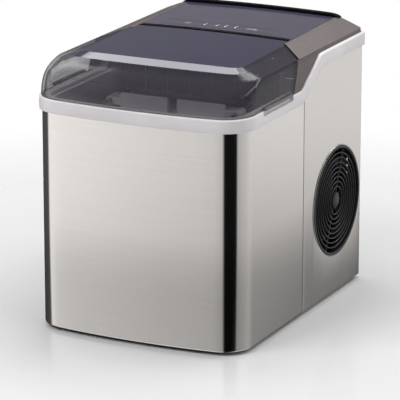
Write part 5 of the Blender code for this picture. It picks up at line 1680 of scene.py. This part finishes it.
class ICEMAKER_OT_machine(PieceOperator, bpy.types.Operator):
    """Build the condenser, drier and compressor fittings"""

    bl_idname = "icemaker.machine"
    bl_label = "Machine room"

    def execute(self, context):
        return self.run(machine_pieces)


class ICEMAKER_OT_dress(PieceOperator, bpy.types.Operator):
    """Give the solids still shown their finishes"""

    bl_idname = "icemaker.dress"
    bl_label = "Frame finishes"

    def execute(self, context):
        return self.run(dress_frame)


class ICEMAKER_OT_stage(PieceOperator, bpy.types.Operator):
    """Build the floor, light and camera"""

    bl_idname = "icemaker.stage"
    bl_label = "Studio"

    def execute(self, context):
        return self.run(set_stage)


OPERATORS = (
    ICEMAKER_OT_sheets,
    ICEMAKER_OT_band,
    ICEMAKER_OT_lid,
    ICEMAKER_OT_cover,
    ICEMAKER_OT_panel,
    ICEMAKER_OT_grille,
    ICEMAKER_OT_fan,
    ICEMAKER_OT_ice,
    ICEMAKER_OT_rake,
    ICEMAKER_OT_basket,
    ICEMAKER_OT_liner,
    ICEMAKER_OT_bulkhead,
    ICEMAKER_OT_rear,
    ICEMAKER_OT_base,
    ICEMAKER_OT_machine,
    ICEMAKER_OT_dress,
    ICEMAKER_OT_stage,
)


class ICEMAKER_PT_panel(bpy.types.Panel):
    """Settings and building steps of the ice maker"""

    bl_idname = "ICEMAKER_PT_panel"
    bl_label = "Ice maker"
    bl_space_type = "VIEW_3D"
    bl_region_type = "UI"
    bl_category = "Ice maker"

    def draw(self, context):
        layout = self.layout
        for attribute, group in SETTINGS:
            box = layout.box()
            box.label(text=group.bl_rna.name)
            for name in group.__annotations__:
                box.prop(getattr(context.scene, attribute), name)
        layout.operator(ICEMAKER_OT_finishes.bl_idname)
        for operator in OPERATORS:
            layout.operator(operator.bl_idname)


SETTINGS = (
    ("ice_maker_body", IceMakerBody),
    ("ice_maker_top", IceMakerTop),
    ("ice_maker_grille", IceMakerGrille),
    ("ice_maker_colours", IceMakerColours),
    ("ice_maker_studio", IceMakerStudio),
)


def register():
    for attribute, group in SETTINGS:
        bpy.utils.register_class(group)
        setattr(bpy.types.Scene, attribute, bpy.props.PointerProperty(type=group))
    for made in (ICEMAKER_OT_finishes, *OPERATORS, ICEMAKER_PT_panel):
        bpy.utils.register_class(made)


def unregister():
    for made in (ICEMAKER_PT_panel, *reversed(OPERATORS), ICEMAKER_OT_finishes):
        bpy.utils.unregister_class(made)
    for attribute, group in reversed(SETTINGS):
        delattr(bpy.types.Scene, attribute)
        bpy.utils.unregister_class(group)


def main():
    register()
    bpy.ops.icemaker.finishes()
    for operator in OPERATORS:
        getattr(bpy.ops.icemaker, operator.bl_idname.split(".")[1])()


if __name__ == "__main__":
    main()
